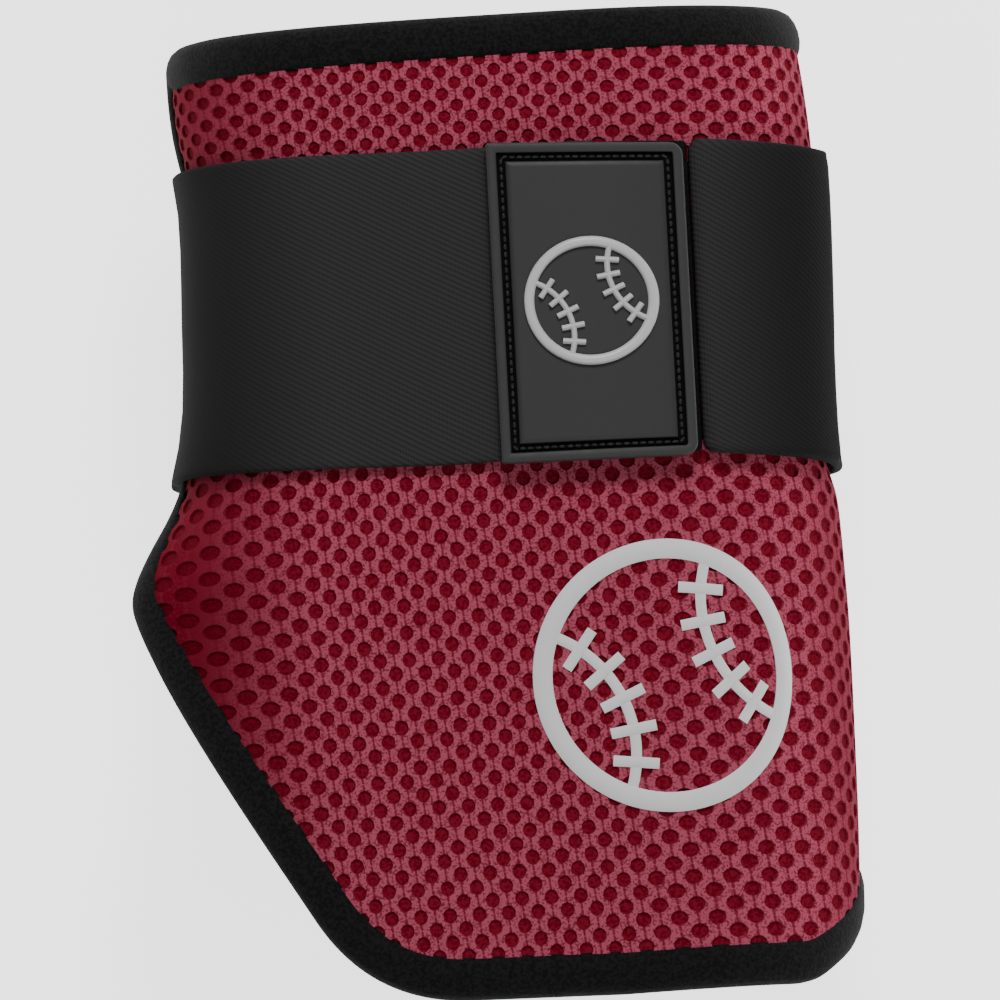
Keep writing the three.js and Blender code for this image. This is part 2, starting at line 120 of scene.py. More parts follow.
@dataclass
class PadForm:
    """The pad's front as a surface: sizes in millimetres, and the map from flat to curved."""

    length: float = 158
    thickness: float = 8
    crown_height: float = 80
    crown_offset: float = 6
    left_half_width: float = 52
    right_half_width: float = 49.4
    side_depth: float = 41.6
    front_power: float = 2.8
    wrap_power: float = 2.2
    right_wrap: float = 150
    outline_steps: int = 480
    step: float = 0.5
    across_limit: float = 125
    along_limit: float = 88
    points: np.ndarray = field(init=False, repr=False)
    normals: np.ndarray = field(init=False, repr=False)
    edge: np.ndarray = field(init=False, repr=False)
    inward: np.ndarray = field(init=False, repr=False)

    def __post_init__(self) -> None:
        """Works out the surface on a fine grid, and the outline."""
        across = np.arange(-self.across_limit, self.across_limit + self.step / 2, self.step)
        along = np.arange(-self.along_limit, self.along_limit + self.step / 2, self.step)
        rows = []
        for y in along:
            left = self.side(y, -1)
            right = self.side(y, 1)
            run = np.concatenate([-left[2][:0:-1], right[2]])
            x = np.concatenate([-left[0][:0:-1], right[0]]) + self.crown_offset
            z = np.concatenate([left[1][:0:-1], right[1]])
            rows.append(
                np.stack([np.interp(across, run, x), np.full_like(across, y), np.interp(across, run, z)], 1)
            )
        self.points = np.stack(rows)
        down_across = np.gradient(self.points, axis=1)
        down_along = np.gradient(self.points, axis=0)
        normals = np.cross(down_across, down_along)
        self.normals = normals / np.maximum(np.linalg.norm(normals, axis=2, keepdims=True), 1e-9)
        self.edge = self.flat_outline()
        self.inward = self.inward_directions()

    def section_value(self, column: str, along: float) -> float:
        """One column of SECTIONS at a share of the length, on a smooth curve.

        Args:
            column: the name of the column.
            along: the share of the length, from the middle.

        Returns:
            The column's value there.
        """
        stations = [row.along for row in SECTIONS]
        values = [getattr(row, column) for row in SECTIONS]
        last = len(SECTIONS) - 1
        i = 0
        while i < last - 1 and along > stations[i + 1]:
            i += 1
        span = stations[i + 1] - stations[i]
        t = min(max((along - stations[i]) / span, 0), 1)

        def slope(k: int) -> float:
            """The curve's slope at a section, times the span."""
            before, after = max(k - 1, 0), min(k + 1, last)
            return (values[after] - values[before]) / (stations[after] - stations[before]) * span

        t2, t3 = t * t, t * t * t
        ends = (2 * t3 - 3 * t2 + 1) * values[i] + (3 * t2 - 2 * t3) * values[i + 1]
        return ends + (t3 - 2 * t2 + t) * slope(i) + (t3 - t2) * slope(i + 1)

    def side(self, y: float, side: int) -> tuple[np.ndarray, np.ndarray, np.ndarray, np.ndarray]:
        """One side of the section at y, from the crown line out.

        Args:
            y: the place along the pad.
            side: -1 for the left and 1 for the right.

        Returns:
            Distances out, heights, lengths round, and angles round.
        """
        along = y / self.length
        half = self.left_half_width if side < 0 else self.right_half_width
        width = half * self.section_value("left" if side < 0 else "right", along)
        depth = self.side_depth * self.section_value("depth", along)
        crown = self.crown_height * self.section_value("crown", along)
        angle = math.radians(170) * (np.arange(401) / 400) ** 1.5
        squareness = 2 / np.where(angle < RIGHT_ANGLE, self.front_power, self.wrap_power)
        out = width * np.abs(np.sin(angle)) ** squareness
        fall = 1 - np.sign(np.cos(angle)) * np.abs(np.cos(angle)) ** squareness
        height = crown - depth * fall
        run = np.concatenate([[0], np.cumsum(np.hypot(np.diff(out), np.diff(height)))])
        return out, height, run, angle

    def run_to_angle(self, y: float, side: int, angle: float) -> float:
        """The length round one side of the section at y, from the crown line to an angle."""
        _, _, run, angles = self.side(y, side)
        return float(np.interp(angle, angles, run))

    def reach(self, share: float, y: float) -> float:
        """How far round the pad a share of the outline's table reaches.

        Args:
            share: the share, below 0 on the left.
            y: the place along the pad.

        Returns:
            The length round from the crown line, in millimetres.
        """
        if share < 0:
            return share * self.run_to_angle(y, -1, RIGHT_ANGLE)
        return share * self.run_to_angle(y, 1, math.radians(self.right_wrap))

    def flat_outline(self) -> np.ndarray:
        """The pad's outline, laid flat: straight runs joined by rounded corners.

        Returns:
            Evenly spaced points, anticlockwise.
        """
        along = [corner.along * self.length for corner in OUTLINE]
        places = np.array([[self.reach(corner.across, y), y] for corner, y in zip(OUTLINE, along)])
        path: list[np.ndarray] = []
        for i, corner in enumerate(OUTLINE):
            point = places[i]
            into = places[i - 1] - point
            out = places[(i + 1) % len(OUTLINE)] - point
            into_length, out_length = np.linalg.norm(into), np.linalg.norm(out)
            half = math.acos(float(into @ out) / (into_length * out_length)) / 2
            room = 0.46 * min(into_length, out_length)
            cut = min(corner.round / math.tan(half), room)
            start, end = point + into / into_length * cut, point + out / out_length * cut
            for t in np.linspace(0, 1, 40):
                path.append((1 - t) ** 2 * start + 2 * t * (1 - t) * point + t * t * end)
        return even_loop(np.array(path), self.outline_steps)

    def inward_directions(self) -> np.ndarray:
        """The inward direction at each outline point, turning gently round the corners.

        Returns:
            One direction for each point of the outline, a little longer on the corners.
        """
        run = np.roll(self.edge, -1, 0) - np.roll(self.edge, 1, 0)
        run /= np.linalg.norm(run, axis=1, keepdims=True)
        normal = np.stack([-run[:, 1], run[:, 0]], 1)
        blend = self.outline_steps // 30
        total = sum(np.roll(normal, k, 0) for k in range(-blend, blend + 1))
        total /= np.linalg.norm(total, axis=1, keepdims=True)
        return total * np.minimum(1.3, 1 / (total * normal).sum(1, keepdims=True))

    def inset(self, distance: float) -> np.ndarray:
        """The outline moved inwards by a distance."""
        return self.edge + self.inward * distance

    def sample(self, grid: np.ndarray, across: np.ndarray, along: np.ndarray) -> np.ndarray:
        """The value of a grid at flat points, between its nearest four.

        Args:
            grid: one vector for each step along and across.
            across: the points' places across, in millimetres.
            along: their places along.

        Returns:
            One vector for each point.
        """
        a = np.clip((across + self.across_limit) / self.step, 0, grid.shape[1] - 1.001)
        b = np.clip((along + self.along_limit) / self.step, 0, grid.shape[0] - 1.001)
        i, j = a.astype(int), b.astype(int)
        s, t = (a - i)[:, None], (b - j)[:, None]
        low = grid[j, i] * (1 - s) + grid[j, i + 1] * s
        high = grid[j + 1, i] * (1 - s) + grid[j + 1, i + 1] * s
        return low * (1 - t) + high * t

    def lay(self, flat: np.ndarray) -> np.ndarray:
        """Lays flat points on the surface.

        Args:
            flat: places across and along with their heights, in millimetres.

        Returns:
            Their places in space, in millimetres.
        """
        base = self.sample(self.points, flat[:, 0], flat[:, 1])
        out = self.sample(self.normals, flat[:, 0], flat[:, 1])
        return base + out / np.linalg.norm(out, axis=1, keepdims=True) * flat[:, 2:3]

    def lay_mesh(self, bm: bmesh.types.BMesh) -> None:
        """Lays a flat mesh on the surface, and turns millimetres to metres.

        Args:
            bm: the mesh, changed in place.
        """
        laid = self.lay(np.array([v.co[:] for v in bm.verts])) * MM
        for vert, place in zip(bm.verts, laid):
            vert.co = place

    def inside(self, flat: np.ndarray, distance: float) -> np.ndarray:
        """Which flat points lie inside the outline, at least a distance in from it.

        Args:
            flat: the points.
            distance: how far in they have to lie.

        Returns:
            True or False for each point.
        """
        loop = self.inset(distance)[::4]
        after = np.roll(loop, -1, 0)
        x, y = flat[:, :1], flat[:, 1:2]
        spans = (loop[:, 1] > y) != (after[:, 1] > y)
        rise = np.where(after[:, 1] == loop[:, 1], 1e-9, after[:, 1] - loop[:, 1])
        crossing = loop[:, 0] + (after[:, 0] - loop[:, 0]) * (y - loop[:, 1]) / rise
        return (spans & (x < crossing)).sum(1) % 2 == 1


def even_loop(points: np.ndarray, count: int) -> np.ndarray:
    """A closed path as evenly spaced points.

    Args:
        points: the path's points, in order.
        count: how many points to return.

    Returns:
        The spaced points.
    """
    closed = np.vstack([points, points[:1]])
    run = np.concatenate([[0], np.cumsum(np.linalg.norm(np.diff(closed, axis=0), axis=1))])
    at = np.arange(count) / count * run[-1]
    return np.stack([np.interp(at, run, closed[:, k]) for k in range(closed.shape[1])], 1)


def start_ring(bm: bmesh.types.BMesh, points: np.ndarray) -> list[bmesh.types.BMVert]:
    """Starts a mesh from one closed ring of vertices and edges.

    Args:
        bm: the mesh.
        points: the ring's places, in order.

    Returns:
        The ring's vertices, in order.
    """
    ring = [bm.verts.new(p) for p in points]
    for i, vert in enumerate(ring):
        bm.edges.new((vert, ring[(i + 1) % len(ring)]))
    return ring


def grow_ring(
    bm: bmesh.types.BMesh, ring: list[bmesh.types.BMVert], points: np.ndarray
) -> list[bmesh.types.BMVert]:
    """Extrudes a ring's edges to a new ring.

    Args:
        bm: the mesh.
        ring: the ring's vertices, in order.
        points: where the new ring's vertices go, in the same order.

    Returns:
        The new ring's vertices, in order.
    """
    edges = [bm.edges.get((vert, ring[(i + 1) % len(ring)])) for i, vert in enumerate(ring)]
    made = bmesh.ops.extrude_edge_only(bm, edges=edges)["geom"]
    fresh = {item for item in made if isinstance(item, bmesh.types.BMVert)}
    grown = []
    for vert, place in zip(ring, points):
        partner = next(e.other_vert(vert) for e in vert.link_edges if e.other_vert(vert) in fresh)
        partner.co = place
        grown.append(partner)
    return grown


def grow_rings(bm: bmesh.types.BMesh, rings: Sequence[np.ndarray]) -> list[list[bmesh.types.BMVert]]:
    """Grows a skin through rings of points, one after the other.

    Args:
        bm: the mesh.
        rings: the places of each ring, with as many points in every ring.

    Returns:
        The vertices of each ring.
    """
    grown = [start_ring(bm, rings[0])]
    for points in rings[1:]:
        grown.append(grow_ring(bm, grown[-1], points))
    return grown


def close_ring(bm: bmesh.types.BMesh, ring: list[bmesh.types.BMVert]) -> None:
    """Closes a ring with a fan of faces round its middle."""
    face = bm.faces.new(ring)
    bmesh.ops.poke(bm, faces=[face])


def with_height(points: np.ndarray, height: float) -> np.ndarray:
    """Flat points with one height."""
    return np.column_stack([points, np.full(len(points), height)])


def make_piece(
    bm: bmesh.types.BMesh,
    name: str,
    finishes: Sequence[bpy.types.Material],
    nodes: Sequence[str] = (),
) -> bpy.types.Object:
    """Turns a mesh into a finished piece of the guard.

    Args:
        bm: the mesh, in metres and in place.
        name: the piece's name.
        finishes: its materials.
        nodes: the solids that it stands for.

    Returns:
        The new object.
    """
    bmesh.ops.recalc_face_normals(bm, faces=bm.faces)
    mesh = bpy.data.meshes.new(name)
    bm.to_mesh(mesh)
    bm.free()
    for finish in finishes:
        mesh.materials.append(finish)
    mesh.shade_smooth()
    mesh.set_sharp_from_angle(angle=math.radians(50))
    piece = bpy.data.objects.new(name, mesh)
    bpy.context.collection.objects.link(piece)
    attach(piece, "root")
    if nodes:
        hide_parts(*nodes)
    log.info("%s: %d faces", name, len(mesh.polygons))
    return piece


class Wave(Enum):
    """Which way a woven pattern runs on the strap."""

    RIB = "rib"
    TWILL = "twill"


class Board:
    """The nodes of one material, with short calls for the ones that the finishes use."""

    def __init__(self, name: str, roughness: float, specular: float = 0.5) -> None:
        """Starts a material with one shader.

        Args:
            name: the material's name.
            roughness: the shader's roughness.
            specular: how strongly it reflects.
        """
        self.material = bpy.data.materials.new(name)
        self.material.use_nodes = True
        self.tree = self.material.node_tree
        self.shader = self.tree.nodes["Principled BSDF"]
        self.shader.inputs["Roughness"].default_value = roughness
        self.shader.inputs["Specular IOR Level"].default_value = specular

    def add(self, kind: str, **settings: object) -> bpy.types.Node:
        """Adds a node and sets its own properties.

        Args:
            kind: the node's type.
            settings: its properties by name.

        Returns:
            The node.
        """
        node = self.tree.nodes.new(kind)
        for key, value in settings.items():
            setattr(node, key, value)
        return node

    def feed(self, socket: bpy.types.NodeSocket, value: object) -> None:
        """Links a socket to another, or sets its number or colour.

        Args:
            socket: the socket to feed.
            value: another node's socket, or a plain value.
        """
        if isinstance(value, bpy.types.NodeSocket):
            self.tree.links.new(value, socket)
        else:
            socket.default_value = value

    def sum(self, operation: str, *values: object) -> bpy.types.NodeSocket:
        """One step of arithmetic.

        Args:
            operation: the step's name.
            values: its sockets or numbers, in order.

        Returns:
            The result's socket.
        """
        node = self.add("ShaderNodeMath", operation=operation)
        for socket, value in zip(node.inputs, values):
            self.feed(socket, value)
        return node.outputs[0]

    def ease(self, value: object, low: float, high: float) -> bpy.types.NodeSocket:
        """How far a value has gone from low to high, eased at both ends.

        Args:
            value: the value's socket.
            low: where the share is 0.
            high: where the share is 1.

        Returns:
            The share's socket.
        """
        node = self.add("ShaderNodeMapRange", interpolation_type="SMOOTHSTEP")
        for socket, number in zip(node.inputs, (value, low, high, 0.0, 1.0)):
            self.feed(socket, number)
        return node.outputs[0]

    def mix(self, share: object, first: object, second: object) -> bpy.types.NodeSocket:
        """A blend of two colours.

        Args:
            share: how much of the second one shows.
            first: the first colour.
            second: the second colour.

        Returns:
            The blend's socket.
        """
        node = self.add("ShaderNodeMix", data_type="RGBA")
        for key, value in ((0, share), (6, first), (7, second)):
            self.feed(node.inputs[key], value)
        return node.outputs[2]

    def place(self) -> bpy.types.NodeSocket:
        """The place on the object, in metres."""
        return self.add("ShaderNodeTexCoord").outputs["Object"]

    def out(self) -> bpy.types.NodeSocket:
        """How far to the right of the guard's middle, in metres.

        Returns:
            The distance's socket.
        """
        split = self.add("ShaderNodeSeparateXYZ")
        self.feed(split.inputs[0], self.place())
        return split.outputs[0]

    def side_shade(self, left_shade_span: Span, right_shade_span: Span, right_shade_share: float = 1.0) -> bpy.types.NodeSocket:
        """How far a place has gone round to either side, where painted shade darkens the colour.

        Args:
            left_shade_span: the distances left of the middle between which the painted shade rises, in
                metres.
            right_shade_span: the same on the right.
            right_shade_share: the share of painted shade that the right side reaches.

        Returns:
            The share's socket.
        """
        out = self.out()
        left = self.ease(self.sum("MULTIPLY", out, -1.0), *left_shade_span)
        return self.sum("MULTIPLY_ADD", self.ease(out, *right_shade_span), right_shade_share, left)

    def uv(self, name: str) -> tuple[bpy.types.NodeSocket, bpy.types.NodeSocket]:
        """The two parts of a UV map, in millimetres from its middle.

        Args:
            name: the map's name.

        Returns:
            The sockets of both parts.
        """
        split = self.add("ShaderNodeSeparateXYZ")
        self.feed(split.inputs[0], self.add("ShaderNodeUVMap", uv_map=name).outputs[0])
        return tuple(self.sum("MULTIPLY_ADD", split.outputs[k], UV_SPAN, -UV_SPAN / 2) for k in (0, 1))

    def noise(self, per_metre: float, detail: float = 2.0) -> bpy.types.NodeSocket:
        """Noise over the object.

        Args:
            per_metre: how many features it has to the metre.
            detail: how many finer layers it has.

        Returns:
            The noise's socket.
        """
        node = self.add("ShaderNodeTexNoise")
        self.feed(node.inputs["Vector"], self.place())
        self.feed(node.inputs["Scale"], per_metre)
        self.feed(node.inputs["Detail"], detail)
        return node.outputs[0]

    def bump(self, height: object, depth: float, strength: float = 1.0) -> None:
        """Adds relief above any that the shader has.

        Args:
            height: the relief's socket.
            depth: how deep it is, in millimetres.
            strength: how much of it shows.
        """
        node = self.add("ShaderNodeBump")
        normal = self.shader.inputs["Normal"]
        if normal.is_linked:
            self.feed(node.inputs["Normal"], normal.links[0].from_socket)
        self.feed(node.inputs["Height"], height)
        node.inputs["Distance"].default_value = depth * MM
        node.inputs["Strength"].default_value = strength
        self.feed(normal, node.outputs[0])

    def colour(self, value: object) -> None:
        """Sets the colour of the shader."""
        self.feed(self.shader.inputs["Base Color"], value)


UV_SPAN = 8.0  # millimetres across a whole UV map
STRAP_UV_SHARE = 0.01  # of the UV map for each millimetre of strap


def paint(red: float, green: float, blue: float) -> Colour:
    """A screen colour as the linear colour that a shader takes.

    Args:
        red: its red part, 0 to 255.
        green: its green part.
        blue: its blue part.

    Returns:
        The linear colour, opaque.
    """
    parts = [part / 255 for part in (red, green, blue)]
    return (*(((c + 0.055) / 1.055) ** 2.4 if c > 0.04045 else c / 12.92 for c in parts), 1.0)


def darker(colour: Colour, share: float) -> Colour:
    """A share of a colour, still opaque."""
    return (*(share * part for part in colour[:3]), 1.0)


@dataclass(frozen=True)
class MeshClothFinish:
    """Red warp-knit mesh: a pinkish web, dark holes, and a thin dark line from hole to hole; painted shade
    darkens web and holes towards both sides.
    """

    web: Colour = paint(173, 78, 98)
    # The side web and side hole colours are painted shade, for where the pad turns away to its sides.
    shaded_side_web: Colour = paint(98, 6, 25)
    speckle: Colour = paint(108, 20, 40)
    hole: Colour = paint(132, 27, 47)
    hole_dark: Colour = paint(101, 4, 23)
    shaded_side_hole: Colour = paint(76, 0, 13)
    hole_radius: float = 1.02
    line_half: float = 0.17
    # Where the painted side shade rises on each side, in metres, and how much of it the right side gets.
    left_shade_span: Span = (0.024, 0.052)
    right_shade_span: Span = (0.047, 0.06)
    right_shade_share: float = 0.8

    def make(self) -> bpy.types.Material:
        """Builds the material.

        Returns:
            The material.
        """
        board = Board("red mesh cloth", roughness=0.9, specular=0.02)
        x, y = board.uv("cell")
        squares = board.sum("ADD", board.sum("MULTIPLY", x, x), board.sum("MULTIPLY", y, y))
        radius = board.sum("SQRT", squares)
        ragged = board.sum("MULTIPLY_ADD", board.noise(3000), 0.3, board.sum("SUBTRACT", radius, 0.15))
        rim = board.ease(ragged, self.hole_radius - 0.12, self.hole_radius + 0.1)
        off_line = board.ease(board.sum("ABSOLUTE", x), self.line_half * 0.4, self.line_half * 1.6)
        past_hole = board.ease(board.sum("ABSOLUTE", y), self.hole_radius * 0.8, self.hole_radius)
        line = board.sum("MULTIPLY", board.sum("SUBTRACT", 1.0, off_line), past_hole)
        # Painted shade: the web darkens towards both sides, where the pad turns away from the light.
        side = board.side_shade(self.left_shade_span, self.right_shade_span, self.right_shade_share)
        web = board.mix(side, self.web, self.shaded_side_web)
        near_hole = board.sum("SUBTRACT", 1.0, board.ease(radius, self.hole_radius, self.hole_radius + 0.9))
        grain = board.ease(board.noise(2500), 0.5, 0.6)
        spots = board.sum("MULTIPLY", grain, board.sum("MULTIPLY_ADD", near_hole, 0.45, 0.45))
        web = board.mix(spots, web, self.speckle)
        web = board.mix(board.sum("MULTIPLY", line, 0.85), web, self.speckle)
        shade = board.ease(board.noise(1900), 0.45, 0.6)
        hole = board.mix(board.sum("MULTIPLY_ADD", shade, 0.55, 0.35), self.hole, self.hole_dark)
        # Painted shade on the holes towards both sides.
        hole = board.mix(board.sum("MULTIPLY", side, 0.7), hole, self.shaded_side_hole)
        board.colour(board.mix(rim, hole, web))
        board.bump(board.noise(3200, 3.0), 0.12, 0.7)
        return board.material


@dataclass(frozen=True)
class KnitFinish:
    """Matte knit of one colour: the binding, and the pad's inner face."""

    name: str
    colour: Colour
    loops_per_metre: float = 1500
    relief: float = 0.12

    def make(self) -> bpy.types.Material:
        """Builds the material.

        Returns:
            The material.
        """
        board = Board(self.name, roughness=0.95, specular=0.1)
        loops = board.noise(self.loops_per_metre, 3.0)
        board.colour(board.mix(board.ease(loops, 0.35, 0.65), darker(self.colour, 0.45), self.colour))
        board.bump(loops, self.relief, 0.9)
        board.bump(board.noise(160), 0.5, 0.5)
        return board.material


@dataclass(frozen=True)
class ElasticFinish:
    """Black woven elastic: fine ribs across the strap, and a shallow twill down to the right, with painted
    shade darkening it towards both sides.
    """

    colour: Colour = paint(56, 56, 57)
    groove: Colour = paint(44, 44, 45)
    # The side colour is painted shade, for where the strap turns away round the pad's sides.
    side: Colour = paint(22, 22, 23)
    left_shade_span: Span = (0.022, 0.05)
    right_shade_span: Span = (0.032, 0.056)
    rib_pitch: float = 0.42
    twill_pitch: float = 0.8
    twill_slope: float = 28

    def stripes(self, board: Board, kind: Wave) -> bpy.types.NodeSocket:
        """The height of one set of threads.

        Args:
            board: the material's board.
            kind: which set it is.

        Returns:
            The height's socket, from 0 to 1.
        """
        split = board.add("ShaderNodeSeparateXYZ")
        board.feed(split.inputs[0], board.add("ShaderNodeUVMap", uv_map="weave").outputs[0])
        u, v = split.outputs[0], split.outputs[1]
        slope = math.radians(self.twill_slope)
        pitch = self.rib_pitch if kind is Wave.RIB else self.twill_pitch
        turn = 2 * math.pi / pitch / STRAP_UV_SHARE
        across, along = (1.0, 0.0) if kind is Wave.RIB else (-math.sin(slope), math.cos(slope))
        phase = board.sum("MULTIPLY_ADD", u, across * turn, board.sum("MULTIPLY", v, along * turn))
        return board.sum("MULTIPLY_ADD", board.sum("SINE", phase), 0.5, 0.5)

    def make(self) -> bpy.types.Material:
        """Builds the material.

        Returns:
            The material.
        """
        board = Board("black woven elastic", roughness=0.95, specular=0.05)
        ribs = self.stripes(board, Wave.RIB)
        twill = self.stripes(board, Wave.TWILL)
        weave = board.sum("MULTIPLY_ADD", ribs, 0.35, board.sum("MULTIPLY", twill, 0.65))
        front = board.mix(board.ease(weave, 0.1, 0.8), self.groove, self.colour)
        # Painted shade: the strap darkens towards both sides.
        side = board.side_shade(self.left_shade_span, self.right_shade_span)
        board.colour(board.mix(side, front, self.side))
        board.bump(weave, 0.06, 0.8)
        board.bump(board.noise(2400, 3.0), 0.08, 0.6)
        return board.material


@dataclass(frozen=True)
class RubberFinish:
    """Matte moulded rubber, faintly grained."""

    name: str
    colour: Colour
    roughness: float = 0.55

    def make(self) -> bpy.types.Material:
        """Builds the material.

        Returns:
            The material.
        """
        board = Board(self.name, roughness=self.roughness, specular=0.4)
        grain = board.noise(1800, 3.0)
        board.colour(board.mix(grain, darker(self.colour, 0.88), self.colour))
        rough = board.sum("MULTIPLY_ADD", board.noise(400), 0.16, self.roughness - 0.08)
        board.feed(board.shader.inputs["Roughness"], rough)
        board.bump(grain, 0.03, 0.5)
        return board.material


@dataclass(frozen=True)
class FilmFinish:
    """A smooth, pale, nearly flat colour: the printed badge, the raised badge and the floor."""

    name: str
    colour: Colour
    roughness: float
    grains_per_metre: float = 600
    glow: float = 0.0

    def make(self) -> bpy.types.Material:
        """Builds the material.

        Returns:
            The material.
        """
        board = Board(self.name, roughness=self.roughness, specular=0.4)
        grain = board.noise(self.grains_per_metre, 2.0)
        board.colour(board.mix(grain, darker(self.colour, 0.95), self.colour))
        board.bump(grain, 0.02, 0.4)
        board.shader.inputs["Emission Color"].default_value = self.colour
        board.shader.inputs["Emission Strength"].default_value = self.glow
        return board.material


@dataclass
class PadCore:
    """The foam pad under its cloth: a thick curved slab with an inner face of black knit."""

    form: PadForm
    cloth_depth: float = 0.7
    hem_inset: float = 12
    middle_rings: int = 9
    outline_share: int = 2

    def rings(self) -> list[np.ndarray]:
        """The pad's rings, from the middle of the front over the edge to the middle of the back.

        Returns:
            Flat rings with heights.
        """
        full = self.form.inset(self.hem_inset)
        back = -self.form.thickness
        shares = [(i / self.middle_rings) ** 0.9 for i in range(1, self.middle_rings)]
        front = [with_height(full * share, -self.cloth_depth) for share in shares]
        inner = [with_height(full * share, back) for share in reversed(shares)]
        hem = (
            (self.hem_inset, -self.cloth_depth), (9, -self.cloth_depth), (7.2, -1.0), (5, -1.3),
            (3, -1.7), (1.9, -2.4), (1.5, -3.4), (1.5, back + 3.4), (1.9, back + 2.4), (3, back + 1.7),
            (5, back + 1.3), (7.2, back + 0.6), (9, back), (self.hem_inset, back),
        )
        edge = [with_height(self.form.inset(inset), height) for inset, height in hem]
        return [ring[:: self.outline_share] for ring in front + edge + inner]

    def build(self, cloth: bpy.types.Material, lining: bpy.types.Material) -> bpy.types.Object:
        """Builds the pad.

        Args:
            cloth: the finish of its front.
            lining: the finish of its inner face.

        Returns:
            The piece.
        """
        bm = bmesh.new()
        grown = grow_rings(bm, self.rings())
        close_ring(bm, grown[0])
        close_ring(bm, grown[-1])
        for face in bm.faces:
            face.material_index = int(face.calc_center_median().z < -self.form.thickness / 2)
        self.form.lay_mesh(bm)
        piece = make_piece(bm, "pad_core", [cloth, lining], ["pad_shell"])
        return piece


class Stretch(NamedTuple):
    """How far the cloth's cells are stretched at one place on the flat pad."""

    at: float
    share: float


STRETCH_ACROSS = (
    Stretch(-80, 2.3), Stretch(-56, 2.1), Stretch(-46, 1.6), Stretch(-38, 1.3), Stretch(-33, 1.0),
    Stretch(12, 1.0), Stretch(19, 1.28), Stretch(40, 1.5), Stretch(56, 2.0), Stretch(90, 2.3),
)
STRETCH_ALONG = (Stretch(-88, 1.19), Stretch(5, 1.19), Stretch(30, 1.0), Stretch(88, 1.0))


def stretched(even: np.ndarray, table: Sequence[Stretch]) -> tuple[np.ndarray, np.ndarray]:
    """Where places on the unstretched cloth lie on the pad, along one axis.

    Args:
        even: the places, in millimetres from the middle.
        table: how far the cloth is stretched from place to place.

    Returns:
        The places on the pad, and the stretch at each of them.
    """
    laid = np.linspace(-200, 200, 4001)
    share = np.interp(laid, [row.at for row in table], [row.share for row in table])
    run = np.cumsum(0.1 / share)
    run -= np.interp(0, laid, run)
    at = np.interp(even, run, laid)
    return at, np.interp(at, laid, share)


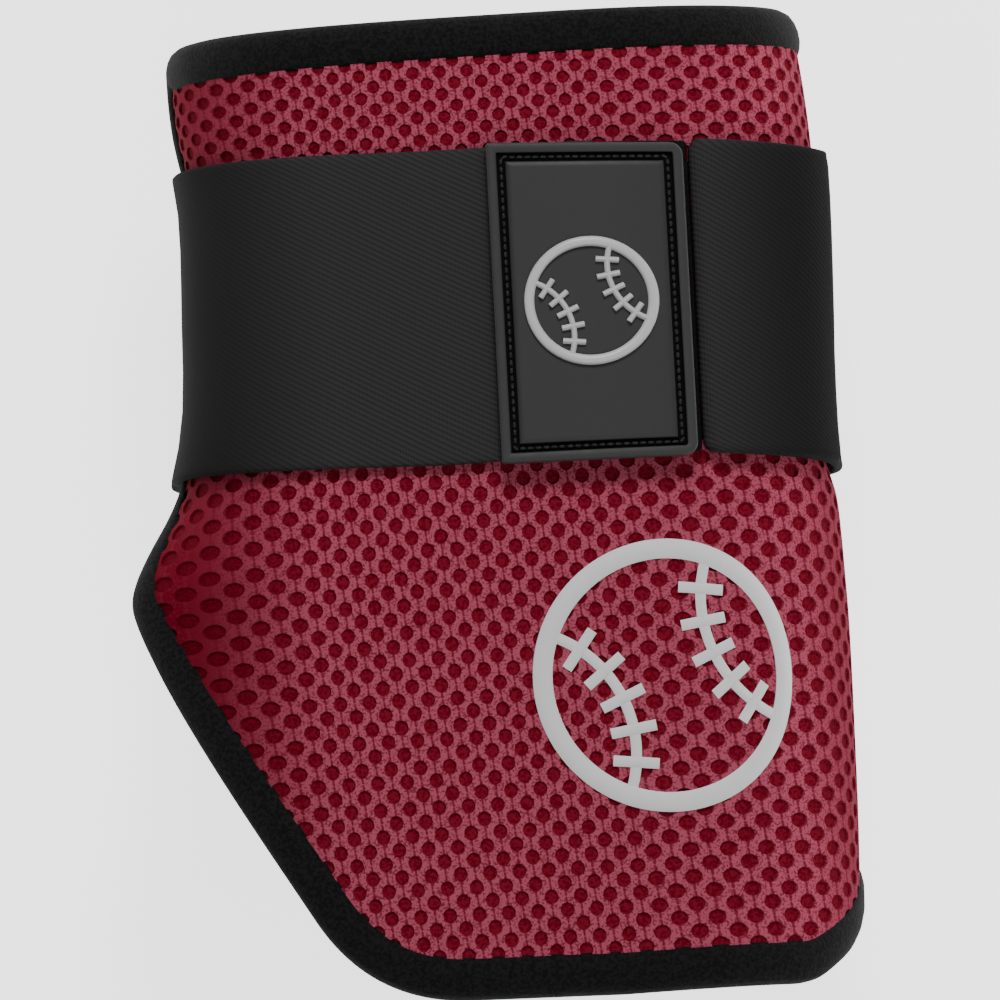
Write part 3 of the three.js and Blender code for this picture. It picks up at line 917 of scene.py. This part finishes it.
@dataclass
class MeshCloth:
    """The perforated cloth on the pad's front: diamond cells, each with one round sunk hole."""

    form: PadForm
    column_pitch: float = 4.38
    row_pitch: float = 3.66
    lean: float = 0.055
    lower_scale: float = 1.08
    hole_rim: float = 1.06
    hole_floor: float = 0.94
    hole_depth: float = 0.4
    top: float = -0.03
    underside: float = -0.78
    hem: float = 3.6
    tuck: float = 2.4
    strap_cover: float = 3
    doublings: int = 6

    def cell(self, bm: bmesh.types.BMesh) -> None:
        """Makes one pair of diamond cells, each with twelve sides.

        Args:
            bm: the empty mesh.
        """
        for dx, dy in ((0.0, 0.0), (self.column_pitch / 2, self.row_pitch / 2)):
            made = bmesh.ops.create_circle(bm, cap_ends=True, segments=12, radius=1)["verts"]
            for vert in made:
                x, y = vert.co.x, vert.co.y
                scale = 1 / (abs(x) / (self.column_pitch / 2) + abs(y) / (self.row_pitch / 2))
                vert.co = (x * scale + dx, y * scale + dy, 0)

    def spread(self, bm: bmesh.types.BMesh) -> None:
        """Repeats the pair of cells over a field, by doubling it.

        Args:
            bm: the mesh of the pair.
        """
        for axis, pitch in ((0, self.column_pitch), (1, self.row_pitch)):
            for k in range(self.doublings):
                made = bmesh.ops.duplicate(bm, geom=bm.verts[:] + bm.edges[:] + bm.faces[:])["geom"]
                shift = Vector((0, 0, 0))
                shift[axis] = pitch * 2**k
                fresh = [item for item in made if isinstance(item, bmesh.types.BMVert)]
                bmesh.ops.translate(bm, verts=fresh, vec=shift)
        half = 2 ** (self.doublings - 1)
        middle = Vector((-self.column_pitch * half, -self.row_pitch * half, 0))
        bmesh.ops.translate(bm, verts=bm.verts[:], vec=middle)
        bmesh.ops.remove_doubles(bm, verts=bm.verts[:], dist=0.02)

    def warp(self, even: np.ndarray) -> tuple[np.ndarray, np.ndarray]:
        """Where the lattice lies on the pad: leaning, larger below the strap, stretched at the sides.

        Args:
            even: places on the lattice.

        Returns:
            Flat places on the pad, and the stretch across and along at each of them.
        """
        along, tall = stretched(even[:, 1], STRETCH_ALONG)
        scale = 1 + (self.lower_scale - 1) * (1 - smooth_step(along, 5, 30))
        across, wide = stretched((even[:, 0] - self.lean * even[:, 1]) * scale, STRETCH_ACROSS)
        return np.column_stack([across, along]), np.column_stack([wide * scale, tall])

    def trim(self, bm: bmesh.types.BMesh) -> None:
        """Draws the corners that lie past the hem back to it.

        Args:
            bm: the sheet, flat.
        """
        hem = self.form.inset(self.hem)
        flat = np.array([v.co[:2] for v in bm.verts])
        for vert, place, kept in zip(bm.verts, flat, self.form.inside(flat, self.hem)):
            if not kept:
                vert.co.xy = hem[np.argmin(((hem - place) ** 2).sum(1))]

    def build(self, strap: "Strap", finish: bpy.types.Material) -> bpy.types.Object:
        """Builds the cloth where the strap leaves it bare.

        Args:
            strap: the strap that covers part of it.
            finish: its material.

        Returns:
            The piece.
        """
        bm = bmesh.new()
        self.cell(bm)
        self.spread(bm)
        uv = bm.loops.layers.uv.new("cell")
        for face in bm.faces:
            middle = face.calc_center_median()
            for loop in face.loops:
                local = loop.vert.co - middle
                loop[uv].uv = (local.x / UV_SPAN + 0.5, local.y / UV_SPAN + 0.5)
        flat, _ = self.warp(np.array([v.co[:2] for v in bm.verts]))
        centres, shares = self.warp(np.array([f.calc_center_median()[:2] for f in bm.faces]))
        for vert, (x, y) in zip(bm.verts, flat):
            vert.co = (x, y, self.underside)
        from_strap = np.abs(centres[:, 1] - strap.middle_at(centres[:, 0]))
        covered = from_strap < strap.width / 2 - self.strap_cover
        keep = self.form.inside(centres, self.hem - self.tuck) & ~covered
        open_cells = self.form.inside(centres, self.hem + self.hole_rim)
        stretch = {face: share for face, share, held in zip(bm.faces[:], shares, open_cells) if held}
        bmesh.ops.delete(bm, geom=[f for f, kept in zip(bm.faces[:], keep) if not kept], context="FACES")
        self.trim(bm)
        self.perforate(bm, uv, stretch)
        self.form.lay_mesh(bm)
        return make_piece(bm, "mesh_cloth", [finish])

    def perforate(self, bm: bmesh.types.BMesh, uv: bmesh.types.BMLayerItem, stretch: dict) -> None:
        """Gives the sheet its thickness, then sinks a round hole in each cell of its top.

        Args:
            bm: the sheet.
            uv: its UV map, in which every hole stays round.
            stretch: the stretch across and along of each cell that has a hole.
        """
        tops = {}
        for face in [f for f in bm.faces if f in stretch]:
            middle = face.calc_center_median()
            tops[(round(middle.x, 2), round(middle.y, 2))] = stretch[face]
        bottom = bm.faces[:]
        made = bmesh.ops.extrude_face_region(bm, geom=bottom, use_keep_orig=True)["geom"]
        fresh = [item for item in made if isinstance(item, bmesh.types.BMVert)]
        bmesh.ops.translate(bm, verts=fresh, vec=(0, 0, self.top - self.underside))
        bmesh.ops.reverse_faces(bm, faces=bottom)
        cells = {}
        for face in [item for item in made if isinstance(item, bmesh.types.BMFace)]:
            middle = face.calc_center_median()
            share = tops.get((round(middle.x, 2), round(middle.y, 2)))
            if share is not None and abs(middle.z - self.top) < 0.01:
                cells[face] = (middle.xy, share)
        for radius, height in ((self.hole_rim, self.top), (self.hole_floor, self.top - self.hole_depth)):
            bmesh.ops.inset_individual(bm, faces=list(cells), thickness=0.05, depth=0)
            for face, (middle, (wide, tall)) in cells.items():
                for loop in face.loops:
                    out = loop.vert.co.xy - middle
                    away = Vector((out.x / wide, out.y / tall)).normalized() * radius
                    loop.vert.co = (middle.x + away.x * wide, middle.y + away.y * tall, height)
                    for corner in loop.vert.link_loops:
                        corner[uv].uv = (away.x / UV_SPAN + 0.5, away.y / UV_SPAN + 0.5)


@dataclass
class Binding:
    """The knitted strip folded round the pad's edge: one puffy roll, tight at its two sewn lips."""

    form: PadForm
    puff: float = 0.72
    lip: float = 7.0
    wobbles: tuple = ((17, 0.008, 0.0), (31, 0.0056, 1.0), (53, 0.004, 2.0))

    def profile(self) -> list[tuple[float, float]]:
        """The roll's section.

        Returns:
            Distances in from the outline, and heights above the pad's front.
        """
        front = (
            (self.lip, -0.9), (self.lip, -0.35), (6.75, 0.1), (6.1, 0.42), (4.9, self.puff),
            (3.4, self.puff), (2.0, 0.42), (0.9, -0.1), (0.2, -1.0), (-0.15, -2.4),
        )
        back = [(inset, -self.form.thickness - height) for inset, height in reversed(front)]
        fold = ((-0.2, -self.form.thickness / 2),)
        inside = ((4.5, -7.0), (2.4, -6.2), (1.7, -4.0), (2.4, -1.8), (4.5, -1.0))
        return list(front) + list(fold) + back + list(inside)

    def build(self, finish: bpy.types.Material) -> bpy.types.Object:
        """Builds the binding.

        Args:
            finish: its material.

        Returns:
            The piece.
        """
        steps = self.form.outline_steps
        profile = np.array(self.profile())
        half = self.form.thickness / 2
        above_middle = profile[:, 1] + half
        proud = np.abs(above_middle) > half
        sections = []
        for i in range(steps + 1):
            k = i % steps
            round_edge = 2 * math.pi * k / steps
            swell = sum(size * math.sin(round_edge * count + turn) for count, size, turn in self.wobbles)
            flat = self.form.edge[k] + self.form.inward[k] * profile[:, :1]
            height = above_middle * np.where(proud, 1 + swell, 1) - half
            sections.append(np.column_stack([flat, height]))
        bm = bmesh.new()
        grow_rings(bm, sections)
        bmesh.ops.remove_doubles(bm, verts=bm.verts[:], dist=1e-4)
        self.form.lay_mesh(bm)
        return make_piece(bm, "binding_roll", [finish], ["edge_binding"])


@dataclass
class Strap:
    """The elastic strap: from under the tab round the left side and the back to its folded end."""

    form: PadForm
    width: float = 50.8
    thickness: float = 1.8
    doubled: float = 3.2
    middle: float = 31.9
    slant: float = -0.033
    bow: float = 1.5
    bow_x: float = 30
    bow_half: float = 42
    back_half: float = 24
    leaves: float = 124
    pull: float = 20
    tug: float = 16
    fold_corner: float = 2
    fold_length: float = 30
    clearance: float = 0.3
    rise: float = 0.4
    tab_left: float = -3.5
    tab_width: float = 30.6
    tab_gap: float = 1.7
    under_tab: float = 13.5
    steps_over: int = 60
    steps_round: int = 24

    @property
    def fold_edge(self) -> float:
        """How far round the folded end lies from the crown line."""
        return self.tab_left + self.tab_width + self.tab_gap

    def middle_at(self, across: np.ndarray) -> np.ndarray:
        """The strap's middle along the pad, at flat places across."""
        flat = np.column_stack([across, np.full(len(across), self.middle), np.zeros(len(across))])
        return self.middle_at_x(self.form.lay(flat)[:, 0])

    def middle_at_x(self, x: np.ndarray) -> np.ndarray:
        """The strap's middle along the pad, slanted and a little bowed, at places across the guard."""
        bow = np.clip(1 - ((x - self.bow_x) / self.bow_half) ** 2, 0, None) ** 2
        return self.middle + self.slant * (x - self.form.crown_offset) + self.bow * bow

    def seat(self, across: np.ndarray, lane: float) -> tuple[np.ndarray, np.ndarray]:
        """The part of one lane that lies on the pad.

        Args:
            across: its places across the pad.
            lane: the lane's distance from the strap's middle.

        Returns:
            Points of the strap's inner face, and outward directions.
        """
        along = self.middle_at(across) + lane
        lift = self.rise * smooth_step(np.abs(across), self.fold_edge, self.form.left_half_width)
        flat = np.column_stack([across, along, self.clearance + lift])
        raised = np.column_stack([across, along, self.clearance + lift + 1])
        low = self.form.lay(flat)
        return low, self.form.lay(raised) - low

    def turn(
        self, start: np.ndarray, out: np.ndarray, pull: float, end_x: float, tug: float, lane: float
    ) -> tuple[np.ndarray, np.ndarray]:
        """One lane's turn from the side of the pad to the flat back.

        Args:
            start: where it leaves the pad.
            out: the outward direction there.
            pull: how far it runs on straight off the pad, below 0 on the left.
            end_x: where the flat back begins, from the crown line.
            tug: how far it runs on straight from the flat back.
            lane: the lane's distance from the strap's middle.

        Returns:
            Points and outward directions, from the pad to the back.
        """
        run = np.array([out[2], 0, -out[0]])
        run /= np.linalg.norm(run)
        first = start * (1, 0, 1)
        last = np.array([self.form.crown_offset + end_x, 0, self.thickness])
        hold = (first, first + run * pull, last + (tug, 0, 0), last)
        t = np.linspace(0, 1, self.steps_round + 1)[:, None]
        weights = ((1 - t) ** 3, 3 * t * (1 - t) ** 2, 3 * t * t * (1 - t), t**3)
        at = sum(weight * point for weight, point in zip(weights, hold))
        slopes = (3 * (1 - t) ** 2, 6 * t * (1 - t), 3 * t * t)
        way = sum(slope * (b - a) for slope, a, b in zip(slopes, hold, hold[1:]))
        way = way / np.linalg.norm(way, axis=1, keepdims=True) * math.copysign(1, pull)
        at[:, 1] = self.middle_at_x(at[:, 0]) + lane
        return at, np.column_stack([-way[:, 2], np.zeros(len(way)), way[:, 0]])

    def lane_line(self, lane: float) -> tuple[np.ndarray, np.ndarray, np.ndarray]:
        """One lengthwise line of the strap's inner face, from its plain end to its folded one.

        Args:
            lane: the distance from the strap's middle.

        Returns:
            Points, outward directions and thicknesses.
        """
        form = self.form
        corner = max(0.0, abs(lane) - self.width / 2 + self.fold_corner) / self.fold_corner
        fold = self.fold_edge + self.fold_corner * (1 - math.sqrt(1 - corner**2 * 0.96))
        left_run = form.run_to_angle(self.middle + lane, -1, RIGHT_ANGLE)
        right_run = form.run_to_angle(self.middle + lane, 1, math.radians(self.leaves))
        plain_end = self.tab_left + self.tab_width - self.under_tab
        left = self.seat(np.linspace(plain_end, -left_run, self.steps_over + 1), lane)
        close = 1 - (1 - np.linspace(0, 1, self.steps_over + 1)) ** 1.6
        across = right_run + (fold - right_run) * close
        right = self.seat(across, lane)
        left_turn = self.turn(left[0][-1], left[1][-1], -self.pull, -self.back_half, -self.tug, lane)
        right_turn = self.turn(right[0][0], right[1][0], self.pull / 2, self.back_half, self.tug, lane)
        single = smooth_step(across - self.fold_edge, self.fold_length, self.fold_length + 3)
        thick = self.doubled + (self.thickness - self.doubled) * single
        at = np.vstack([left[0][:-1], left_turn[0], right_turn[0][:0:-1], right[0]])
        out = np.vstack([left[1][:-1], left_turn[1], right_turn[1][:0:-1], right[1]])
        plain = np.full(len(at) - len(thick), self.thickness)
        return at, out, np.concatenate([plain, thick])

    def length(self) -> float:
        """The strap's length along its middle, from one end to the other."""
        at, _, _ = self.lane_line(0)
        return float(np.linalg.norm(np.diff(at, axis=0), axis=1).sum())

    def build(self, finish: bpy.types.Material) -> bpy.types.Object:
        """Args:
            finish: its material.

        Returns:
            The piece.
        """
        swell = {0.5: 0.2, 0.497: 0.36, 0.49: 0.46, 0.47: 0.5, 0.38: 0.5, 0.26: 0.5, 0.13: 0.5, 0.0: 0.5}
        shares = [-s for s in swell] + [s for s in reversed(swell) if s]
        lines = [self.lane_line(share * self.width) for share in shares]
        halves = np.array([swell[abs(share)] for share in shares])
        stations = len(lines[0][0])
        at = np.stack([line[0] for line in lines], 1)
        out = np.stack([line[1] for line in lines], 1)
        thick = np.stack([line[2] for line in lines], 1)
        steps = np.linalg.norm(np.diff(at[:, len(shares) // 2], axis=0), axis=1)
        run = np.concatenate([[0], np.cumsum(steps)])
        ends = np.clip(1 - (run[-1] - run) / (self.doubled / 2), 0, 1)
        close = np.sqrt(np.maximum(1 - ends**2, 0.02))[:, None]
        middle = at + out * thick[:, :, None] / 2
        half = out * (thick * halves * close)[:, :, None]
        sections = np.concatenate([middle + half, (middle - half)[:, ::-1]], 1) * MM
        bm = bmesh.new()
        uv = bm.loops.layers.uv.new("weave")
        grown = grow_rings(bm, list(sections))
        bm.faces.new(grown[0])
        bm.faces.new(grown[-1])
        along = {vert: run[i] for i in range(stations) for vert in grown[i]}
        lanes = [share * self.width for share in shares]
        round_lanes = lanes + lanes[::-1]
        across = {vert: round_lanes[k] for ring in grown for k, vert in enumerate(ring)}
        for face in bm.faces:
            for loop in face.loops:
                loop[uv].uv = (along[loop.vert] * STRAP_UV_SHARE, across[loop.vert] * STRAP_UV_SHARE)
        piece = make_piece(bm, "elastic_strap", [finish], ["strap_band"])
        flat = (self.width * MM, self.length() * MM)
        return piece


def rounded_loop(width: float, height: float, radii: Sequence[float], inset: float = 0) -> np.ndarray:
    """A rectangle with its own radius at each corner, moved inwards.

    Args:
        width: across, before it is moved.
        height: along, before it is moved.
        radii: lower left, lower right, upper right and upper left.
        inset: how far inwards it is moved.

    Returns:
        Points about its middle, the same number for every inset.
    """
    x, y = width / 2 - inset, height / 2 - inset
    corners = ((-x, -y), (x, -y), (x, y), (-x, y))
    per_corner, per_side = 7, 12
    path: list[np.ndarray] = []
    for k, ((cx, cy), radius) in enumerate(zip(corners, radii)):
        r = max(radius - inset, 0.12)
        mx, my = cx - math.copysign(r, cx), cy - math.copysign(r, cy)
        start = math.pi + k * RIGHT_ANGLE
        turns = start + np.linspace(0, RIGHT_ANGLE, per_corner)
        path += [np.array((mx + r * math.cos(turn), my + r * math.sin(turn))) for turn in turns]
    points = []
    for k, point in enumerate(path):
        points.append(point)
        after = path[(k + 1) % len(path)]
        if k % per_corner == per_corner - 1:
            points += [point + (after - point) * t for t in np.linspace(0, 1, per_side + 2)[1:-1]]
    return np.array(points)


@dataclass
class Landing:
    """The flat tape between the strap's ends, which the tab's underside grips."""

    strap: Strap
    thickness: float = 1.4
    width: float = 50.2
    under_tab: float = 13
    fold_gap: float = 0.06
    corner: float = 0.8
    edge: float = 0.3

    def build(self, finish: bpy.types.Material) -> bpy.types.Object:
        """Builds the tape.

        Args:
            finish: its material.

        Returns:
            The piece.
        """
        strap = self.strap
        left = strap.tab_left + strap.tab_width - self.under_tab
        right = strap.fold_edge - self.fold_gap
        top = self.thickness
        loops = ((self.edge, 0), (0, self.edge), (0, top - self.edge), (self.edge, top))
        rings = []
        for inset, height in loops:
            ring = rounded_loop(right - left, self.width, (self.corner,) * 4, inset)
            ring = ring + ((left + right) / 2, 0)
            ring[:, 1] += strap.middle_at(ring[:, 0])
            rings.append(with_height(ring, strap.clearance + height))
        bm = bmesh.new()
        grown = grow_rings(bm, rings)
        close_ring(bm, grown[0])
        close_ring(bm, grown[-1])
        strap.form.lay_mesh(bm)
        return make_piece(bm, "landing_tape", [finish], ["hook_landing"])


@dataclass
class PullTab:
    """The moulded rubber tab: a rim, a groove with a line of stitches, and a raised panel."""

    strap: Strap
    height: float = 51.2
    along: float = 32.1
    slant: float = 0.65
    thickness: float = 2.3
    corner: float = 2.0
    square_corner: float = 0.5
    rim: float = 1.6
    groove: float = 1.4
    groove_depth: float = 0.9
    panel_drop: float = 0.15
    stitch_pitch: float = 1.25
    stitch_length: float = 1.05
    thread: float = 0.55

    @property
    def seat(self) -> float:
        """The height of its underside above the pad's front."""
        return 2 * self.strap.clearance + self.strap.thickness

    @property
    def centre(self) -> np.ndarray:
        """Its middle, on the flat pad."""
        return np.array([self.strap.tab_left + self.strap.tab_width / 2, self.along])

    @property
    def panel_height(self) -> float:
        """The height of its panel above the pad's front."""
        return self.seat + self.thickness - self.panel_drop

    def loop(self, inset: float, height: float, share: float = 1) -> np.ndarray:
        """One closed loop of it.

        Args:
            inset: how far inwards it is moved.
            height: its height above the pad's front.
            share: the share of its size that it is then drawn in to.

        Returns:
            Flat points with heights.
        """
        radii = (self.square_corner, self.corner, self.corner, self.square_corner)
        points = rounded_loop(self.strap.tab_width, self.height, radii, inset) * share
        lean = points[:, 0] / (self.strap.tab_width / 2) * (0.5 + points[:, 1] / self.height)
        points[:, 1] -= self.slant * lean
        return with_height(points + self.centre, height)

    def build(
        self, panel: bpy.types.Material, rim: bpy.types.Material, seam: bpy.types.Material
    ) -> bpy.types.Object:
        """Builds the tab.

        Args:
            panel: the finish of the panel.
            rim: the finish of the rim and the sides.
            seam: the finish of the groove.

        Returns:
            The piece.
        """
        low, top = self.seat, self.seat + self.thickness
        floor = top - self.groove_depth
        inner = self.rim + self.groove
        shares = (0.85, 0.7, 0.55, 0.4, 0.25, 0.12)
        under = [self.loop(0.3, low, share) for share in reversed(shares)]
        rim_steps = (
            (0.3, low), (0, low + 0.3), (0, top - 0.35), (0.12, top - 0.1), (0.38, top),
            (self.rim - 0.2, top), (self.rim, top - 0.15),
        )
        groove_steps = (
            (self.rim + 0.1, floor), (inner - 0.1, floor), (inner, self.panel_height - 0.2),
        )
        panel_steps = ((inner + 0.2, self.panel_height), (inner + 0.9, self.panel_height))
        body = [self.loop(inset, height) for inset, height in rim_steps + groove_steps + panel_steps]
        over = [self.loop(inner + 0.9, self.panel_height, share) for share in shares]
        bm = bmesh.new()
        grown = grow_rings(bm, under + body + over)
        close_ring(bm, grown[0])
        close_ring(bm, grown[-1])
        rim_from = len(under)
        groove_from = rim_from + len(rim_steps) - 1
        panel_from = groove_from + len(groove_steps)
        ring_of = {vert: i for i, ring in enumerate(grown) for vert in ring}
        for face in bm.faces:
            inner_ring = max(ring_of.get(vert, 0) for vert in face.verts)
            if rim_from < inner_ring <= groove_from:
                face.material_index = 1
            elif groove_from < inner_ring <= panel_from:
                face.material_index = 2
        self.strap.form.lay_mesh(bm)
        return make_piece(bm, "moulded_tab", [panel, rim, seam], ["pull_tab"])

    def build_stitches(self, finish: bpy.types.Material) -> bpy.types.Object:
        """Builds the line of stitches in the groove.

        Args:
            finish: their material.

        Returns:
            The piece.
        """
        path = self.loop(self.rim + self.groove / 2, 0)[:, :2]
        around = np.linalg.norm(np.roll(path, -1, 0) - path, axis=1).sum()
        count = int(around / self.stitch_pitch)
        places = even_loop(path, count)
        ways = np.roll(places, -1, 0) - np.roll(places, 1, 0)
        height = self.seat + self.thickness - self.groove_depth + self.thread * 0.3
        bm = bmesh.new()
        for (x, y), (dx, dy) in zip(places, ways):
            made = bmesh.ops.create_uvsphere(bm, u_segments=10, v_segments=6, radius=0.5)["verts"]
            turn = math.atan2(dy, dx)
            forward, aside = math.cos(turn), math.sin(turn)
            for vert in made:
                a, b = vert.co.z * self.stitch_length, vert.co.x * self.thread
                up = vert.co.y * self.thread
                vert.co = (x + a * forward - b * aside, y + a * aside + b * forward, height + up)
        self.strap.form.lay_mesh(bm)
        return make_piece(bm, "tab_stitches", [finish])


@dataclass
class BallBadge:
    """A ball badge: a ring with two curved seams that are crossed by short stitches."""

    form: PadForm
    radius: float
    line: float
    centre: tuple[float, float]
    foot: float
    height: float
    slope: float
    turn: float = 24
    seam_radius: float = 0.92
    seam_centre: float = 1.3
    stitch_length: float = 0.34
    stitch_angle: float = 15
    stitches: int = 5

    def stroke(
        self, bm: bmesh.types.BMesh, path: np.ndarray, width: float, closed: bool, lift: float
    ) -> None:
        """Lays one bar of the badge along a flat path.

        Args:
            bm: the badge's mesh.
            path: the bar's middle line, about the badge's middle.
            width: the bar's width.
            closed: whether the path runs round on itself.
            lift: how far its top is raised over the others.
        """
        turn = math.radians(self.turn)
        spin = np.array([[math.cos(turn), math.sin(turn)], [-math.sin(turn), math.cos(turn)]])
        path = path @ spin + np.array(self.centre)
        if closed:
            way = np.roll(path, -1, 0) - np.roll(path, 1, 0)
        else:
            way = np.gradient(path, axis=0)
        way /= np.linalg.norm(way, axis=1, keepdims=True)
        side = np.stack([-way[:, 1], way[:, 0]], 1)
        top = self.height + lift
        half = width / 2
        shape = (
            (-half, 0), (-half, top - self.slope), (-half + self.slope, top), (0, top + 0.01),
            (half - self.slope, top), (half, top - self.slope), (half, 0),
        )
        offsets, heights = np.array(shape)[:, :1], self.foot + np.array(shape)[:, 1]
        sections = [
            np.column_stack([point + aside * offsets, heights]) for point, aside in zip(path, side)
        ]
        if closed:
            sections.append(sections[0])
        grown = grow_rings(bm, sections)
        if closed:
            bmesh.ops.remove_doubles(bm, verts=grown[0] + grown[-1], dist=1e-4)
        else:
            bm.faces.new(grown[0])
            bm.faces.new(grown[-1])

    def build(self, name: str, finish: bpy.types.Material, slot: str, node: str) -> bpy.types.Object:
        """Builds the badge.

        Args:
            name: the piece's name.
            finish: its material.
            slot: not used.
            node: the solid that it stands for.

        Returns:
            The piece.
        """
        bm = bmesh.new()
        angles = np.linspace(0, 2 * math.pi, 96, endpoint=False)
        ring = (self.radius - self.line / 2) * np.stack([np.cos(angles), np.sin(angles)], 1)
        self.stroke(bm, ring, self.line, closed=True, lift=0.02)
        seam_line = self.line * 0.55
        arc = self.radius * self.seam_radius
        away = self.radius * self.seam_centre
        reach = self.radius - self.line * 0.7
        half_angle = math.acos((away**2 + arc**2 - reach**2) / (2 * away * arc))
        for side in (-1, 1):
            sweep = np.linspace(-half_angle, half_angle, 48)
            seam = np.stack([side * (away - arc * np.cos(sweep)), arc * np.sin(sweep)], 1)
            self.stroke(bm, seam, seam_line, closed=False, lift=0)
            for k in range(self.stitches):
                angle = math.radians((k - (self.stitches - 1) / 2) * self.stitch_angle)
                out = np.array([-side * math.cos(angle), math.sin(angle)])
                middle = np.array([side * away, 0]) + out * arc
                half = self.radius * self.stitch_length / 2
                bar = np.stack([middle + out * t for t in np.linspace(-half, half, 8)])
                self.stroke(bm, bar, seam_line, closed=False, lift=0.01)
        self.form.lay_mesh(bm)
        return make_piece(bm, name, [finish], [node])


class Lamp(NamedTuple):
    """One soft square light that faces the guard, in metres and watts."""

    name: str
    place: tuple[float, float, float]
    size: float
    power: float


@dataclass
class Studio:
    """The floor, the lights and the camera, all in metres."""

    lamps: tuple[Lamp, ...] = (
        Lamp("key", (0.1, 1.0, 1.2), 0.45, 15),
        Lamp("fill", (0.35, -0.75, 1.2), 0.9, 5.5),
    )
    sky: float = 0.24
    distance: float = 6.0
    per_pixel: float = 0.000161
    image: int = 1000
    tilt: float = 4
    roll: float = 3
    target: tuple[float, float, float] = (0.00185, 0.001, 0.08)
    floor_half: float = 3.0
    sensor: float = 36

    def light(self, lamp: Lamp) -> None:
        """Adds one light.

        Args:
            lamp: what it is and where it stands.
        """
        data = bpy.data.lights.new(lamp.name, "AREA")
        data.size = lamp.size
        data.energy = lamp.power
        light = bpy.data.objects.new(lamp.name, data)
        light.location = lamp.place
        light.rotation_euler = (-Vector(lamp.place)).to_track_quat("-Z", "Y").to_euler()
        bpy.context.collection.objects.link(light)

    def build(self, floor_finish: bpy.types.Material) -> None:
        """Builds the studio.

        Args:
            floor_finish: the floor's material.
        """
        bm = bmesh.new()
        bmesh.ops.create_grid(bm, x_segments=2, y_segments=2, size=self.floor_half)
        mesh = bpy.data.meshes.new("floor")
        bm.to_mesh(mesh)
        bm.free()
        mesh.materials.append(floor_finish)
        floor = bpy.data.objects.new("floor", mesh)
        bpy.context.collection.objects.link(floor)
        for lamp in self.lamps:
            self.light(lamp)
        world = bpy.data.worlds.new("studio")
        world.use_nodes = True
        background = world.node_tree.nodes["Background"]
        background.inputs["Color"].default_value = (1, 1, 1, 1)
        background.inputs["Strength"].default_value = self.sky
        bpy.context.scene.world = world
        self.build_camera()

    def build_camera(self) -> None:
        """Places the camera: nearly overhead, and rolled a little, as in the photograph."""
        tilt, roll = math.radians(self.tilt), math.radians(self.roll)
        back = Vector((0, -math.sin(tilt), math.cos(tilt)))
        right = Vector((1, 0, 0))
        up = back.cross(right)
        turned_right = right * math.cos(roll) - up * math.sin(roll)
        turned_up = right * math.sin(roll) + up * math.cos(roll)
        data = bpy.data.cameras.new("camera")
        data.sensor_width = self.sensor
        data.lens = self.sensor * self.distance / (self.per_pixel * self.image)
        data.clip_end = 20
        camera = bpy.data.objects.new("camera", data)
        place = Vector(self.target) + back * self.distance
        matrix = np.eye(4)
        for k, axis in enumerate((turned_right, turned_up, back, place)):
            matrix[:3, k] = axis
        camera.matrix_world = Matrix(matrix)
        bpy.context.collection.objects.link(camera)
        bpy.context.scene.camera = camera


def main() -> None:
    """Builds the guard and its studio."""
    logging.basicConfig(level=logging.INFO, format="%(message)s")
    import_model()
    form = PadForm()
    strap = Strap(form)
    tab = PullTab(strap)

    red = MeshClothFinish().make()
    under_red = KnitFinish("red under cloth", paint(104, 8, 30)).make()
    lining = KnitFinish("black lining knit", paint(26, 26, 27), loops_per_metre=1200, relief=0.15).make()
    roll = KnitFinish("black binding knit", paint(29, 29, 30), loops_per_metre=1700, relief=0.2).make()
    elastic = ElasticFinish().make()
    tape = KnitFinish("black loop tape", paint(24, 24, 25), loops_per_metre=2200, relief=0.3).make()
    panel = RubberFinish("grey rubber", paint(46, 46, 47)).make()
    rim = RubberFinish("grey rubber rim", paint(51, 51, 51), roughness=0.6).make()
    seam = KnitFinish("black seam", paint(15, 15, 16), loops_per_metre=3600, relief=0.1).make()
    # The thread is black; its paler grey is a painted highlight, standing in for the glints on the
    # stitches.
    thread = KnitFinish("black thread with painted highlight", paint(58, 58, 60), loops_per_metre=3000, relief=0.1).make()
    silver = FilmFinish("silver relief", paint(200, 200, 201), roughness=0.35).make()
    film = FilmFinish("pale print film", paint(226, 226, 226), roughness=0.6).make()
    floor = FilmFinish("pale floor", paint(250, 250, 250), roughness=0.9, grains_per_metre=20, glow=2.2)

    PadCore(form).build(under_red, lining)
    MeshCloth(form).build(strap, red)
    Binding(form).build(roll)
    strap.build(elastic)
    Landing(strap).build(tape)
    tab.build(panel, rim, seam)
    tab.build_stitches(thread)
    tab_top = tab.panel_height - 0.05
    raised = BallBadge(
        form, radius=10.4, line=1.6, centre=tuple(tab.centre), foot=tab_top, height=0.9, slope=0.35
    )
    raised.build("raised_badge", silver, "badge_silver", "tab_emblem")
    printed = BallBadge(
        form, radius=22, line=3.2, centre=(21.6, -28.5), foot=-0.02, height=0.14, slope=0.03
    )
    printed.build("printed_badge", film, "print_white", "front_print")
    Studio().build(floor.make())


if __name__ == "__main__":
    main()
